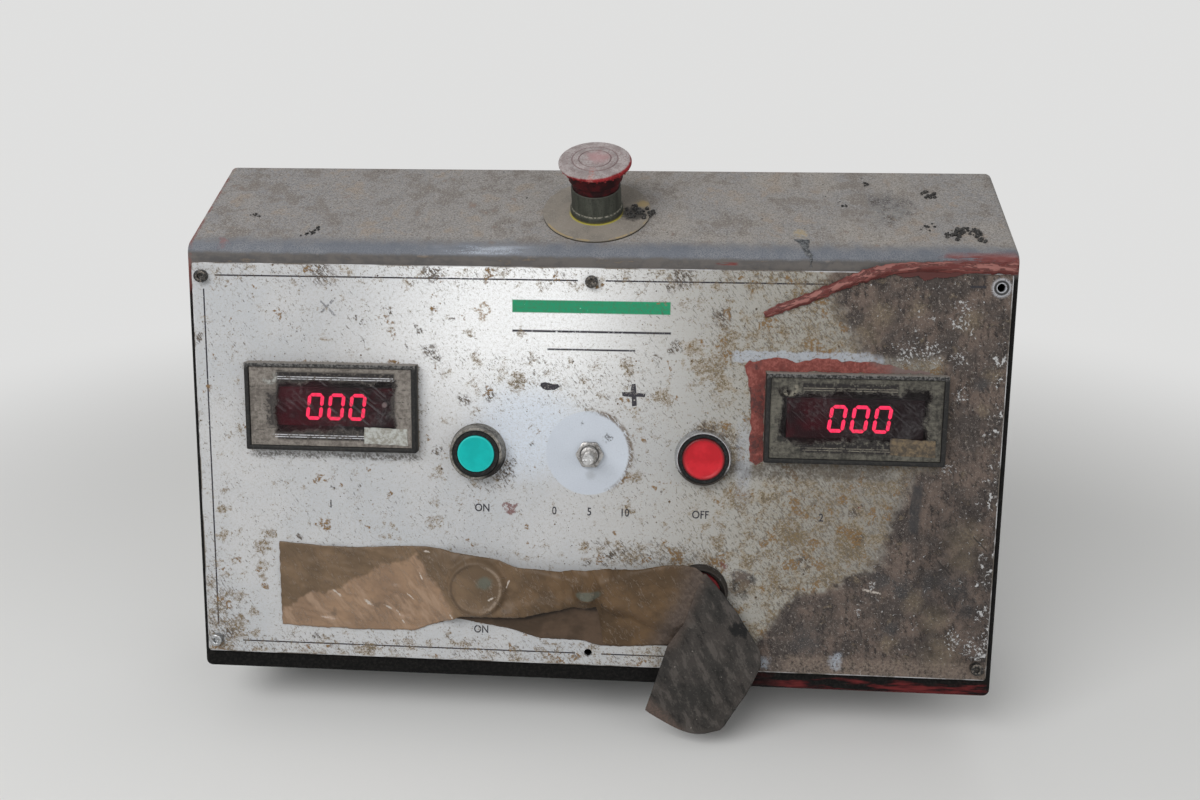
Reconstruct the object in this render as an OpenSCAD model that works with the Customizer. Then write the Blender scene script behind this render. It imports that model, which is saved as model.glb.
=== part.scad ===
// Operator control box of an industrial plastics extruder.
// A folded steel console box that bolts to the machine through its back. Its leaning front
// carries a screwed aluminium plate with two digital meters, push buttons and potentiometers,
// and its sloping top carries a mushroom stop button.
// +X runs to the viewer's right, +Y to the back, +Z up. The origin is on the back face, at the
// centre of its four bolt holes.

/* [Housing] */
// Lean of the front face back from upright, in degrees
face_lean = 10; // [5:1:14]
// Length of the top face along its slope, corner to corner
top_len = 87; // [80:1:130]
// Rise of the top face towards the back, in degrees
top_rise = 24; // [12:1:26]
// Thickness of the folded steel sheet
sheet_t = 2; // [1.5:0.5:3]
// Outer bend radius between the front and the top
front_bend_r = 10; // [5:1:14]
// Outer bend radius of the other three folds
fold_r = 4; // [4:1:8]
// Radius ground on the edges of the end cheeks
cheek_edge_r = 4; // [3:0.5:6]

/* [Back fixing] */
// Distance between the left and right bolt holes
bolt_span_x = 380; // [200:5:400]
// Distance between the lower and upper bolt holes
bolt_span_z = 180; // [100:5:200]
// Diameter of the bolt holes
bolt_hole_d = 9; // [5:0.5:12]

/* [Front plate] */
// Width of the aluminium plate
plate_w = 452; // [440:1:600]
// Height of the aluminium plate
plate_h = 229; // [226:1:300]
// Thickness of the aluminium plate
plate_t = 2; // [1.5:0.5:4]
// Distance from the lower fold's corner to the plate, along the face
plate_low_gap = 12; // [10:0.5:20]
// Distance from the plate to the upper fold's corner, along the face
plate_top_gap = 10; // [8:0.5:20]
// Distance from the plate to each side of the box
plate_side_gap = 4; // [3:0.5:20]
// Corner radius of the plate
plate_corner_r = 2; // [1:0.5:5]
// Distance from the plate's sides to its screws
screw_edge_x = 6; // [5:0.5:8]
// Distance from the plate's lower and upper edges to its screws
screw_edge_y = 7.5; // [5:0.5:9]
// Thread diameter of the plate screws
screw_d = 4; // [3:0.5:5]
// Length of the plate screws under the head
screw_len = 12; // [8:1:20]
// Width of the steel land under the plate, around the opening behind it
land_w = 18; // [14:1:22]

/* [Meters] */
// Width of a meter's bezel
meter_w = 98; // [90:1:100]
// Height of a meter's bezel
meter_h = 50; // [44:1:50]
// How far a bezel stands off the plate
meter_proud = 7; // [5:0.5:12]
// Width of a bezel's rim around its lens
meter_rim = 2.6; // [2:0.2:4]
// Depth of the lens under the front of the rim
lens_recess = 1.2; // [0.6:0.2:2]
// Thickness of a meter's lens
lens_t = 2; // [1:0.5:3]
// Depth of a meter's case behind the plate
case_depth = 62; // [40:1:70]
// Clearance of a meter's case in the plate, all round
case_gap = 0.3; // [0.2:0.1:1]
// Centre of the screw speed meter, to the left of the middle
speed_meter_x = -146.5; // [-160:0.5:-140]
// Centre of the motor load meter, to the right of the middle
load_meter_x = 145.5; // [140:0.5:160]
// Height of both meters over the middle of the plate
meter_y = 34.5; // [26:0.5:40]

/* [Push buttons] */
// Distance of the buttons from the middle of the plate
button_x = 63.5; // [55:0.5:70]
// Height of the upper row of controls over the middle of the plate
upper_row_y = 10.5; // [6:0.5:14]
// Distance from the upper row of controls down to the lower row
row_drop = 78; // [70:1:80]
// Diameter of a button's threaded barrel
barrel_d = 22; // [20:0.5:24]
// Length of a button's threaded barrel behind the plate
barrel_len = 16; // [12:1:20]
// Diameter of a start button's bezel at the plate
start_base_d = 32; // [31:0.5:34]
// Diameter of a start button's bezel at its front
start_front_d = 29.2; // [28:0.2:29.4]
// How far a start button's bezel stands off the plate
start_proud = 8.5; // [6:0.5:10]
// Diameter of a start button's green cap
start_cap_d = 20.8; // [18:0.2:22]
// Diameter of a stop button's bezel at the plate
stop_base_d = 32; // [31.5:0.5:34]
// Diameter of a stop button's bezel at its front
stop_front_d = 30; // [28.2:0.2:30.4]
// How far a stop button's bezel stands off the plate
stop_proud = 6.5; // [5:0.5:8]
// Diameter of a stop button's red cap
stop_cap_d = 23.4; // [22:0.2:25]
// Travel of a push button's cap
push_travel = 3; // [2:0.5:3.5]

/* [Potentiometers] */
// Thread diameter of a potentiometer's bushing
bushing_d = 10; // [8:0.5:12]
// How far a bushing stands off the plate
bushing_proud = 6; // [5:0.5:8]
// Width across the flats of the bushing's nut
pot_nut_af = 14; // [13:0.5:17]
// Thickness of the bushing's nut
pot_nut_t = 3; // [2:0.5:4]
// Diameter of a potentiometer's shaft where the knob goes
pot_shaft_d = 6; // [5:0.5:6.5]
// Diameter of the shaft's journal inside the bushing
pot_journal_d = 5; // [4:0.5:5.5]
// How far a shaft stands off the plate
pot_shaft_proud = 16; // [12:1:20]

/* [Stop mushroom] */
// Distance of the mushroom from the front corner, up the slope of the top
estop_y = 37; // [37:0.5:45]
// Diameter of the label disc
disc_d = 61.6; // [50:0.2:64]
// Thickness of the label disc
disc_t = 1.2; // [0.8:0.2:2]
// Outer diameter of the metal collar
collar_d = 28.2; // [28:0.2:29]
// Height of the collar's upper edge over the top face
collar_top = 18; // [15:0.5:18]
// Wall of the collar around the button's guide
collar_wall = 0.9; // [0.8:0.1:1]
// Diameter of the mushroom's neck
neck_d = 30.6; // [30:0.2:32]
// Diameter of the mushroom's rim
mushroom_d = 40.6; // [38:0.2:44]
// Height of the mushroom's crown over the top face
mushroom_top = 35; // [35:0.5:42]
// Travel of the mushroom when it is pushed
mushroom_travel = 3.5; // [2:0.5:3.5]

/* [Cable gland] */
// Distance of the gland to the right of the middle
gland_x = 125; // [90:1:150]
// Thread diameter of the gland
gland_d = 20; // [16:0.5:25]

/* [Tape and peeled paint] */
// Thickness of the packing tape, its layers together
tape_t = 0.6; // [0.4:0.1:1]
// Width of the packing tape
tape_w = 50; // [48:1:54]
// Length of tape to the left of the lower start button
tape_lead = 117; // [60:1:140]
// How far the middle of the tape runs below the lower row of controls
tape_drop = 5; // [3:0.5:8]
// Thickness of the folded flap of grey tape
flap_t = 0.8; // [0.6:0.1:1.5]
// Width of the folded flap
flap_w = 66; // [40:1:80]
// Length of the folded flap
flap_len = 96; // [60:1:120]
// Thickness of the peeled strip of paint
skin_t = 1.6; // [1:0.1:2]
// Length of the peeled strip of paint
skin_len = 135; // [80:1:200]

/* [Hidden] */
$fn = 64;

// Gap between a sliding or turning piece and its guide
run_gap = 0.08;
// Gap of a fastener or a barrel in the sheet that it passes through
hole_gap = 0.15;
// Air left under or around something soft or stuck on
lay_gap = 0.3;

// Outline of the housing across X, as [y, z]: front low, front top, back top, back low
body_w = plate_w + 2 * plate_side_gap;
face_len = plate_low_gap + plate_h + plate_top_gap;
top_run = top_len * cos(top_rise);
top_gain = top_len * sin(top_rise);
face_run = face_len * sin(face_lean);
face_gain = face_len * cos(face_lean);
body_h = face_gain + top_gain;
body_d = top_run + face_run;
profile = [
    [-body_d, -body_h / 2],
    [-top_run, body_h / 2 - top_gain],
    [0, body_h / 2],
    [0, -body_h / 2]
];
profile_r = [fold_r, front_bend_r, fold_r, fold_r];

function unit(v) = v / norm(v);
function before(i) = profile[(i + 3) % 4];
function after(i) = profile[(i + 1) % 4];
// Directions from a corner to the one before it and the one after it
function to_before(i) = unit(before(i) - profile[i]);
function to_after(i) = unit(after(i) - profile[i]);
function half_angle(i) = acos(to_before(i) * to_after(i)) / 2;
function bend_centre(i) =
    profile[i] + unit(to_before(i) + to_after(i)) * profile_r[i] / sin(half_angle(i));
function quarter_left(v) = [-v[1], v[0]];
// Points round the bend at corner i, on radius r, from the face before it to the face after it
bend_steps = 10;
function bend_arc(i, r) =
    let (out = quarter_left(-to_before(i)), start = atan2(out[1], out[0]), turn = 180 - 2 * half_angle(i))
    [for (k = [0:bend_steps])
        let (a = start - turn * k / bend_steps)
        bend_centre(i) + r * [cos(a), sin(a)]];

// Places and sizes on the front face
plate_mid = plate_low_gap + plate_h / 2;
lower_row_y = upper_row_y - row_drop;
screw_span_x = plate_w - 2 * screw_edge_x;
screw_span_y = plate_h - 2 * screw_edge_y;
lens_w = meter_w - 2 * meter_rim;
lens_h = meter_h - 2 * meter_rim;
case_shy_w = 4.4;
case_shy_h = 3.4;
case_w = meter_w - case_shy_w;
case_h = meter_h - case_shy_h;
display_w = 74;
display_h = 22;
digit_t = 0.3;
display_face = meter_proud - lens_recess - lens_t - digit_t - lay_gap;
digit_w = 7.4;
digit_h = 13.4;
digit_lean = 8;
segment_w = 1.9;
digit_pitch = 12.2;
digits_x = 2.6;
screw_head_d = 1.75 * screw_d;
socket_af = 0.75 * screw_d;

// Potentiometer can behind the plate
pot_can_d = 24;
pot_can_t = 10;

// Guides inside the button bezels
plunger_d = 16;
ring_clear = 0.1;
cap_floor = 1;
start_ring_d = start_front_d - 2.6;
stop_ring_d = stop_front_d - 2;
nut_t = 4;
nut_d = 29;

// Guide inside the stop mushroom
guide_d = collar_d - 2 * collar_wall - 2 * run_gap;
spindle_d = 10;
estop_plunger_d = 16;

// Draws on the front face: X right, Y up the face, Z out, from the middle of the plate's seat
module on_face() {
    low_corner = profile[0];
    translate([0,
        low_corner[0] + plate_mid * sin(face_lean),
        low_corner[1] + plate_mid * cos(face_lean)])
    rotate([90 - face_lean, 0, 0])
    children();
}

// Draws on the top face: X right, Y up the slope to the back, Z out, from the front corner
module on_top() {
    front_corner = profile[1];
    translate([0, front_corner[0], front_corner[1]])
    rotate([top_rise, 0, 0])
    children();
}

// Draws on the underside: Z down, from below the box's middle
module on_underside() {
    translate([0, -body_d / 2, -body_h / 2])
    rotate([180, 0, 0])
    children();
}

// Outline of the folded sheet, moved outwards by grow
module folded_outline(grow) {
    polygon([for (i = [0:3]) each bend_arc(i, profile_r[i] + grow)]);
}

function backwards(points) = [for (k = [len(points) - 1:-1:0]) points[k]];
// Outline of a wall with the bends at its two corners, first and last
function bent_wall(first, last) = concat(
    bend_arc(first, profile_r[first]),
    bend_arc(last, profile_r[last]),
    backwards(bend_arc(last, profile_r[last] - sheet_t)),
    backwards(bend_arc(first, profile_r[first] - sheet_t))
);
// Outline of the flat wall between the bends at two corners
function flat_wall(first, last) = [
    bend_arc(first, profile_r[first])[bend_steps],
    bend_arc(last, profile_r[last])[0],
    bend_arc(last, profile_r[last] - sheet_t)[0],
    bend_arc(first, profile_r[first] - sheet_t)[bend_steps]
];

// Extrudes a [y, z] outline along X, from x0 to x1
module along_x(x0, x1) {
    translate([x0, 0, 0])
    rotate([90, 0, 90])
    linear_extrude(x1 - x0)
    children();
}

module rounded_plate(w, h, r, t) {
    linear_extrude(t)
    union() {
        square([w - 2 * r, h], center = true);
        square([w, h - 2 * r], center = true);
        for (x = [-1, 1], y = [-1, 1])
            translate([x * (w / 2 - r), y * (h / 2 - r)])
            circle(r);
    }
}

// The six screw places on the plate: columns -1, 0, 1 and rows -1, 1
module at_screw(column, row) {
    translate([column * screw_span_x / 2, row * screw_span_y / 2, 0])
    children();
}

module barrel_hole(d, t) {
    translate([0, 0, -t])
    cylinder(d = d + 2 * hole_gap, h = 2 * t);
}

// One wall of the folded sheet, between the two cheeks
module housing_wall(outline) {
    end_x = body_w / 2 - cheek_edge_r;
    along_x(-end_x, end_x)
    polygon(outline);
}

// Front wall with its two bends and the opening behind the front plate
module housing_front() {
    color("dimgray")
    difference() {
        housing_wall(bent_wall(0, 1));
        on_face()
        cube([plate_w - 2 * land_w, plate_h - 2 * land_w, 6 * sheet_t], center = true);
        on_face()
        for (column = [-1:1], row = [-1, 1])
            at_screw(column, row)
            cylinder(d = screw_d, h = 4 * sheet_t, center = true);
    }
}

module housing_top() {
    color("dimgray")
    difference() {
        housing_wall(flat_wall(1, 2));
        on_top()
        translate([0, estop_y, 0])
        cylinder(d = barrel_d + 2 * hole_gap, h = 4 * sheet_t, center = true);
    }
}

// Back wall with its two bends and the bolt holes
module housing_back() {
    color("dimgray")
    difference() {
        housing_wall(bent_wall(2, 3));
        for (x = [-1, 1], z = [-1, 1])
            translate([x * bolt_span_x / 2, 0, z * bolt_span_z / 2])
            rotate([90, 0, 0])
            cylinder(d = bolt_hole_d, h = 4 * sheet_t, center = true);
    }
}

module housing_underside() {
    color("dimgray")
    difference() {
        housing_wall(flat_wall(3, 0));
        on_underside()
        translate([gland_x, 0, 0])
        cylinder(d = gland_d + 2 * hole_gap, h = 4 * sheet_t, center = true);
    }
}

// Welded end cheek: a shallow pan whose outer edge is ground round
module cheek(side) {
    edge_steps = 6;
    slice = 0.01;
    color("dimgray")
    translate([side * (body_w / 2 - cheek_edge_r), 0, 0])
    mirror([side < 0 ? 1 : 0, 0, 0])
    difference() {
        hull()
        for (k = [0:edge_steps])
            let (turn = 90 * k / edge_steps, x = (cheek_edge_r - slice) * sin(turn))
            along_x(x, x + slice)
            folded_outline(cheek_edge_r * (cos(turn) - 1));
        along_x(-1, cheek_edge_r - sheet_t)
        folded_outline(-sheet_t);
    }
}

module left_cheek() {
    cheek(-1);
}

module right_cheek() {
    cheek(1);
}

module front_plate() {
    color("gainsboro")
    on_face()
    difference() {
        rounded_plate(plate_w, plate_h, plate_corner_r, plate_t);
        for (column = [-1:1], row = [-1, 1])
            at_screw(column, row)
            translate([0, 0, -1])
            cylinder(d = screw_d + 4 * hole_gap, h = plate_t + 2);
        for (x = [speed_meter_x, load_meter_x])
            translate([x, meter_y, 0])
            cube([case_w + 2 * case_gap, case_h + 2 * case_gap, 4 * plate_t], center = true);
        for (y = [upper_row_y, lower_row_y]) {
            for (x = [-button_x, button_x])
                translate([x, y, 0])
                barrel_hole(barrel_d, 2 * plate_t);
            translate([0, y, 0])
            barrel_hole(bushing_d, 2 * plate_t);
        }
    }
}

// Socket head screw through the plate into the steel land
module plate_screw(column, row) {
    color("darkslategray")
    on_face()
    at_screw(column, row)
    translate([0, 0, plate_t])
    difference() {
        union() {
            cylinder(d = screw_head_d, h = screw_d);
            translate([0, 0, -screw_len])
            cylinder(d = screw_d - hole_gap, h = screw_len + 0.5);
        }
        translate([0, 0, screw_d / 2])
        cylinder(d = socket_af / cos(30), h = screw_d, $fn = 6);
    }
}

module at_meter(x) {
    on_face()
    translate([x, meter_y, plate_t])
    children();
}

// Bezel frame with a ledge that the lens lies on
module meter_bezel(x) {
    ledge = 2;
    color("dimgray")
    at_meter(x)
    difference() {
        translate([-meter_w / 2, -meter_h / 2, 0])
        cube([meter_w, meter_h, meter_proud]);
        translate([-lens_w / 2, -lens_h / 2, meter_proud - lens_recess - lens_t])
        cube([lens_w, lens_h, meter_proud]);
        translate([-lens_w / 2 + ledge, -lens_h / 2 + ledge, -1])
        cube([lens_w - 2 * ledge, lens_h - 2 * ledge, meter_proud + 2]);
    }
}

module meter_lens(x) {
    color("darkred")
    at_meter(x)
    translate([0, 0, meter_proud - lens_recess - lens_t / 2])
    cube([lens_w - 2 * hole_gap, lens_h - 2 * hole_gap, lens_t], center = true);
}

// Digit block behind the lens, standing on the case
module meter_display(x) {
    color("black")
    at_meter(x)
    translate([-display_w / 2, -display_h / 2, 0])
    cube([display_w, display_h, display_face]);
}

// One bar of a digit, from a to b, with pointed ends
module segment(a, b) {
    along = unit(b - a);
    side = quarter_left(along) * segment_w / 2;
    tip = along * segment_w / 2;
    gap = along * 0.25;
    polygon([
        a + gap, a + gap + tip + side, b - gap - tip + side,
        b - gap, b - gap - tip - side, a + gap + tip - side
    ]);
}

// Three noughts of six lit bars each, on the front of the display
module meter_digits(x) {
    half_w = digit_w / 2;
    half_h = digit_h / 2;
    lean = tan(digit_lean) * half_h;
    corners = [
        [-half_w - lean, -half_h], [half_w - lean, -half_h], [half_w, 0],
        [half_w + lean, half_h], [-half_w + lean, half_h], [-half_w, 0]
    ];
    color("red")
    at_meter(x)
    translate([0, 0, display_face])
    linear_extrude(digit_t)
    for (place = [-1:1])
        translate([digits_x + place * digit_pitch, 0])
        for (k = [0:5])
            segment(corners[k], corners[(k + 1) % 6]);
}

module meter_case(x) {
    color("black")
    at_meter(x)
    translate([-case_w / 2, -case_h / 2, -case_depth])
    cube([case_w, case_h, case_depth]);
}

module speed_meter_bezel() {
    meter_bezel(speed_meter_x);
}

module speed_meter_lens() {
    meter_lens(speed_meter_x);
}

module speed_meter_display() {
    meter_display(speed_meter_x);
}

module speed_meter_digits() {
    meter_digits(speed_meter_x);
}

module speed_meter_case() {
    meter_case(speed_meter_x);
}

module load_meter_bezel() {
    meter_bezel(load_meter_x);
}

module load_meter_lens() {
    meter_lens(load_meter_x);
}

module load_meter_display() {
    meter_display(load_meter_x);
}

module load_meter_digits() {
    meter_digits(load_meter_x);
}

module load_meter_case() {
    meter_case(load_meter_x);
}

module at_control(x, y) {
    on_face()
    translate([x, y, plate_t])
    children();
}

// Turned bezel with its threaded barrel, bored for the plunger of the cap
module button_bezel(base_d, front_d, proud, ring_d) {
    lip = 1.2;
    rotate_extrude()
    polygon([
        [plunger_d / 2 + run_gap, -barrel_len],
        [barrel_d / 2, -barrel_len],
        [barrel_d / 2, 0],
        [base_d / 2, 0],
        [base_d / 2, lip],
        [front_d / 2, proud],
        [ring_d / 2, proud],
        [ring_d / 2, cap_floor],
        [plunger_d / 2 + run_gap, cap_floor]
    ]);
}

// Dark ring between the bezel and the cap
module button_ring(ring_d, cap_d, proud) {
    difference() {
        translate([0, 0, cap_floor])
        cylinder(d = ring_d - 2 * ring_clear, h = proud - cap_floor - 0.4);
        cylinder(d = cap_d + 2 * run_gap, h = 2 * proud);
    }
}

// Nut on a barrel behind a sheet of thickness t
module locknut(t) {
    translate([0, 0, -t - nut_t])
    difference() {
        cylinder(d = nut_d, h = nut_t);
        translate([0, 0, -1])
        cylinder(d = barrel_d + 2 * hole_gap, h = nut_t + 2);
    }
}

// Cap with its plunger, free to move in by travel; dish hollows its face
module button_cap(cap_d, face, travel, dish) {
    cap_t = face - cap_floor - travel - lay_gap;
    edge = 0.8;
    difference() {
        rotate_extrude()
        polygon([
            [0, 2 - barrel_len],
            [plunger_d / 2, 2 - barrel_len],
            [plunger_d / 2, face - cap_t],
            [cap_d / 2, face - cap_t],
            [cap_d / 2, face - edge],
            [cap_d / 2 - edge, face],
            [0, face]
        ]);
        if (dish > 0)
            translate([0, 0, face])
            cylinder(d1 = cap_d - 8, d2 = cap_d - 3, h = 2 * dish, center = true);
    }
}

module start_bezel_at(y) {
    color("silver")
    at_control(-button_x, y)
    button_bezel(start_base_d, start_front_d, start_proud, start_ring_d);
}

module stop_bezel_at(y) {
    color("silver")
    at_control(button_x, y)
    button_bezel(stop_base_d, stop_front_d, stop_proud, stop_ring_d);
}

module start_button_bezel() {
    start_bezel_at(upper_row_y);
}

module start_button_ring() {
    color("black")
    at_control(-button_x, upper_row_y)
    button_ring(start_ring_d, start_cap_d, start_proud);
}

module start_button_cap() {
    color("lightseagreen")
    at_control(-button_x, upper_row_y)
    button_cap(start_cap_d, start_proud - 0.1, push_travel, 0);
}

module stop_button_bezel() {
    stop_bezel_at(upper_row_y);
}

module stop_button_ring() {
    color("black")
    at_control(button_x, upper_row_y)
    button_ring(stop_ring_d, stop_cap_d, stop_proud);
}

module button_locknuts() {
    color("silver")
    for (x = [-button_x, button_x], y = [upper_row_y, lower_row_y])
        at_control(x, y)
        locknut(plate_t);
}

module stop_button_cap() {
    color("crimson")
    at_control(button_x, upper_row_y)
    button_cap(stop_cap_d, stop_proud + 1.2, push_travel, 0.8);
}

module lower_start_bezel() {
    start_bezel_at(lower_row_y);
}

module lower_start_cap() {
    color("lightseagreen")
    at_control(-button_x, lower_row_y)
    button_cap(start_cap_d, start_proud - 0.1, push_travel, 0);
}

module lower_stop_bezel() {
    stop_bezel_at(lower_row_y);
}

module lower_stop_cap() {
    color("crimson")
    at_control(button_x, lower_row_y)
    button_cap(stop_cap_d, stop_proud - lay_gap, 0, 0.8);
}

// Potentiometer can behind the plate with its threaded bushing through it
module pot_body_at(y) {
    color("silver")
    at_control(0, y)
    rotate_extrude()
    polygon([
        [pot_journal_d / 2 + run_gap, -plate_t - pot_can_t],
        [pot_can_d / 2, -plate_t - pot_can_t],
        [pot_can_d / 2, -plate_t],
        [bushing_d / 2, -plate_t],
        [bushing_d / 2, bushing_proud],
        [pot_journal_d / 2 + run_gap, bushing_proud]
    ]);
}

module pot_nut_at(y) {
    color("silver")
    at_control(0, y)
    difference() {
        cylinder(d = pot_nut_af / cos(30), h = pot_nut_t, $fn = 6);
        translate([0, 0, -1])
        cylinder(d = bushing_d + 2 * hole_gap, h = pot_nut_t + 2);
    }
}

// Shaft with a screwdriver slot in its end, thinner where it turns in the bushing
module pot_shaft_at(y) {
    slot_w = 1;
    slot_deep = 1.5;
    shoulder = bushing_proud + 2 * lay_gap;
    journal_low = 1 - plate_t - pot_can_t;
    color("lightgray")
    at_control(0, y)
    difference() {
        union() {
            translate([0, 0, journal_low])
            cylinder(d = pot_journal_d, h = shoulder - journal_low);
            translate([0, 0, shoulder])
            cylinder(d = pot_shaft_d, h = pot_shaft_proud - shoulder);
        }
        translate([0, 0, pot_shaft_proud])
        cube([2 * pot_shaft_d, slot_w, 2 * slot_deep], center = true);
    }
}

module pot_body() {
    pot_body_at(upper_row_y);
}

module pot_nut() {
    pot_nut_at(upper_row_y);
}

module pot_shaft() {
    pot_shaft_at(upper_row_y);
}

module lower_pot_body() {
    pot_body_at(lower_row_y);
}

module lower_pot_nut() {
    pot_nut_at(lower_row_y);
}

module lower_pot_shaft() {
    pot_shaft_at(lower_row_y);
}

module at_estop() {
    on_top()
    translate([0, estop_y, 0])
    children();
}

module estop_label_disc() {
    color("goldenrod")
    at_estop()
    difference() {
        cylinder(d = disc_d, h = disc_t);
        translate([0, 0, -1])
        cylinder(d = barrel_d + 2 * hole_gap, h = disc_t + 2);
    }
}

// Metal collar with its threaded barrel through the sheet
module estop_collar() {
    bead = 0.5;
    barrel_low = -12;
    color("gray")
    at_estop()
    rotate_extrude()
    polygon([
        [estop_plunger_d / 2 + run_gap, barrel_low],
        [barrel_d / 2, barrel_low],
        [barrel_d / 2, disc_t],
        [collar_d / 2 + 2 * bead, disc_t],
        [collar_d / 2 + 2 * bead, disc_t + 2.4],
        [collar_d / 2, disc_t + 4],
        [collar_d / 2, collar_top],
        [collar_d / 2 - collar_wall, collar_top],
        [collar_d / 2 - collar_wall, disc_t + 3],
        [estop_plunger_d / 2 + run_gap, disc_t + 3]
    ]);
}

module estop_locknut() {
    color("gray")
    at_estop()
    locknut(sheet_t);
}

// Plunger that slides in the barrel and carries the turning mushroom on its spindle
module estop_plunger() {
    shoulder = disc_t + 3 + mushroom_travel + lay_gap;
    color("darkgray")
    at_estop() {
        translate([0, 0, -10])
        cylinder(d = estop_plunger_d, h = 10 + shoulder);
        translate([0, 0, shoulder - 1])
        cylinder(d = spindle_d, h = mushroom_top - 8 - shoulder);
    }
}

// Mushroom head turned in one with its neck and the guide inside the collar
module estop_mushroom() {
    guide_low = disc_t + 3 + mushroom_travel + 2 * lay_gap;
    cone_low = collar_top + mushroom_travel + 0.2;
    rim_low = mushroom_top - 3.8;
    color("firebrick")
    at_estop()
    rotate_extrude()
    polygon([
        [spindle_d / 2 + run_gap, guide_low],
        [guide_d / 2, guide_low],
        [guide_d / 2, cone_low],
        [neck_d / 2, cone_low + 1.8],
        [neck_d / 2, rim_low - 1.6],
        [mushroom_d / 2 - 1.2, rim_low + 0.3],
        [mushroom_d / 2, rim_low + 1],
        [mushroom_d / 2, rim_low + 1.7],
        [mushroom_d / 2 - 0.8, rim_low + 2.5],
        [mushroom_d / 2 - 2.4, rim_low + 3.1],
        [10, mushroom_top - 0.3],
        [0, mushroom_top],
        [0, mushroom_top - 7.6],
        [spindle_d / 2 + run_gap, mushroom_top - 7.6]
    ]);
}

// Hexagon with its threaded nipple and the dome nut that grips a conduit
module gland_body() {
    bore_d = gland_d - 6;
    color("dimgray")
    on_underside()
    translate([gland_x, 0, 0])
    difference() {
        union() {
            translate([0, 0, -10])
            cylinder(d = gland_d, h = 11);
            cylinder(d = (gland_d + 4) / cos(30), h = 6, $fn = 6);
            translate([0, 0, 6])
            cylinder(d = gland_d + 3, h = 12);
        }
        translate([0, 0, -11])
        cylinder(d = bore_d, h = 30);
    }
}

module gland_locknut() {
    color("dimgray")
    on_underside()
    translate([gland_x, 0, -sheet_t - nut_t])
    difference() {
        cylinder(d = (gland_d + 6) / cos(30), h = nut_t, $fn = 6);
        translate([0, 0, -1])
        cylinder(d = gland_d + 2 * hole_gap, h = nut_t + 2);
    }
}

// A tent of tape over a control of radius r that stands high off the plate
module tent(r, foot_r, high, shrink) {
    hull() {
        cylinder(r = foot_r - shrink, h = 0.01, $fn = 32);
        cylinder(r = r + lay_gap + tape_t - shrink, h = high + lay_gap + tape_t - shrink, $fn = 32);
    }
}

// Point of the tape at a share of its length and a share of half its width
function on_tape(along, across) = [
    -button_x - tape_lead + along * (2 * button_x + tape_lead - stop_base_d / 2),
    lower_row_y - tape_drop + across * tape_w / 2
];

// Two overlapping layers of packing tape, torn off along their lower edge
module packing_tape() {
    outline = [
        on_tape(0, 1), on_tape(0.2, 0.94), on_tape(0.44, 0.94), on_tape(0.62, 0.7), on_tape(1, 0.72),
        on_tape(1, -1.14), on_tape(0.82, -1.18), on_tape(0.67, -1.08), on_tape(0.45, -0.64),
        on_tape(0.34, -1), on_tape(0, -0.98)
    ];
    slack = 5;
    start_foot = start_base_d / 2 + slack;
    pot_foot = pot_nut_af / 2 + 1.4 * slack;
    color("peru")
    at_control(0, 0)
    difference() {
        union() {
            translate([0, 0, lay_gap])
            linear_extrude(tape_t)
            polygon(outline);
            translate([-button_x, lower_row_y, lay_gap])
            tent(start_front_d / 2, start_foot, start_proud, 0);
            translate([0, lower_row_y, lay_gap])
            tent(pot_shaft_d / 2, pot_foot, pot_shaft_proud, 0);
        }
        translate([-button_x, lower_row_y, lay_gap - 0.01])
        tent(start_front_d / 2, start_foot, start_proud, tape_t);
        translate([0, lower_row_y, lay_gap - 0.01])
        tent(pot_shaft_d / 2, pot_foot, pot_shaft_proud, tape_t);
        translate([button_x, lower_row_y, -1])
        cylinder(d = stop_base_d + 2 * lay_gap, h = 2 * stop_proud);
    }
}

// Folded end of grey tape that hangs from the lower stop button past the box's edge
module tape_flap() {
    shares = [
        [0, 0.13], [0.2, -0.01], [0.41, -0.19], [0.53, -0.38], [0.52, -0.46], [0.38, -0.66],
        [0.2, -0.86], [-0.06, -0.87], [-0.21, -0.84], [-0.47, -0.74], [-0.47, -0.68],
        [-0.38, -0.54], [-0.27, -0.33], [-0.09, -0.14]
    ];
    color("dimgray")
    at_control(button_x, lower_row_y)
    translate([0, 0, stop_proud + lay_gap])
    linear_extrude(flap_t)
    polygon([for (share = shares) [share[0] * flap_w, share[1] * flap_len]]);
}

// Strip of thick red paint that has peeled off and curled over the plate's upper right corner
module peeled_paint_strip() {
    shares = [
        [-0.985, -0.17], [-0.75, -0.07], [-0.615, 0], [-0.4, 0.037], [0.015, 0.03],
        [0.015, 0], [-0.4, 0.007], [-0.62, -0.067], [-0.75, -0.1], [-0.95, -0.19]
    ];
    color("indianred")
    at_control(plate_w / 2, plate_h / 2)
    translate([0, 0, lay_gap])
    linear_extrude(skin_t)
    polygon([for (share = shares) share * skin_len]);
}

housing_front();
housing_top();
housing_back();
housing_underside();
left_cheek();
right_cheek();
front_plate();
plate_screw(-1, 1);  // plate_screw_top_left
plate_screw(0, 1);  // plate_screw_top_centre
plate_screw(-1, -1);  // plate_screw_bottom_left
plate_screw(1, -1);  // plate_screw_bottom_right
speed_meter_bezel();
speed_meter_lens();
speed_meter_display();
speed_meter_digits();
speed_meter_case();
load_meter_bezel();
load_meter_lens();
load_meter_display();
load_meter_digits();
load_meter_case();
start_button_bezel();
start_button_ring();
start_button_cap();
stop_button_bezel();
stop_button_ring();
button_locknuts();
stop_button_cap();
pot_body();
pot_nut();
pot_shaft();
lower_start_bezel();
lower_start_cap();
lower_pot_body();
lower_pot_nut();
lower_pot_shaft();
lower_stop_bezel();
lower_stop_cap();
estop_label_disc();
estop_collar();
estop_locknut();
estop_plunger();
estop_mushroom();
gland_body();
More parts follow.
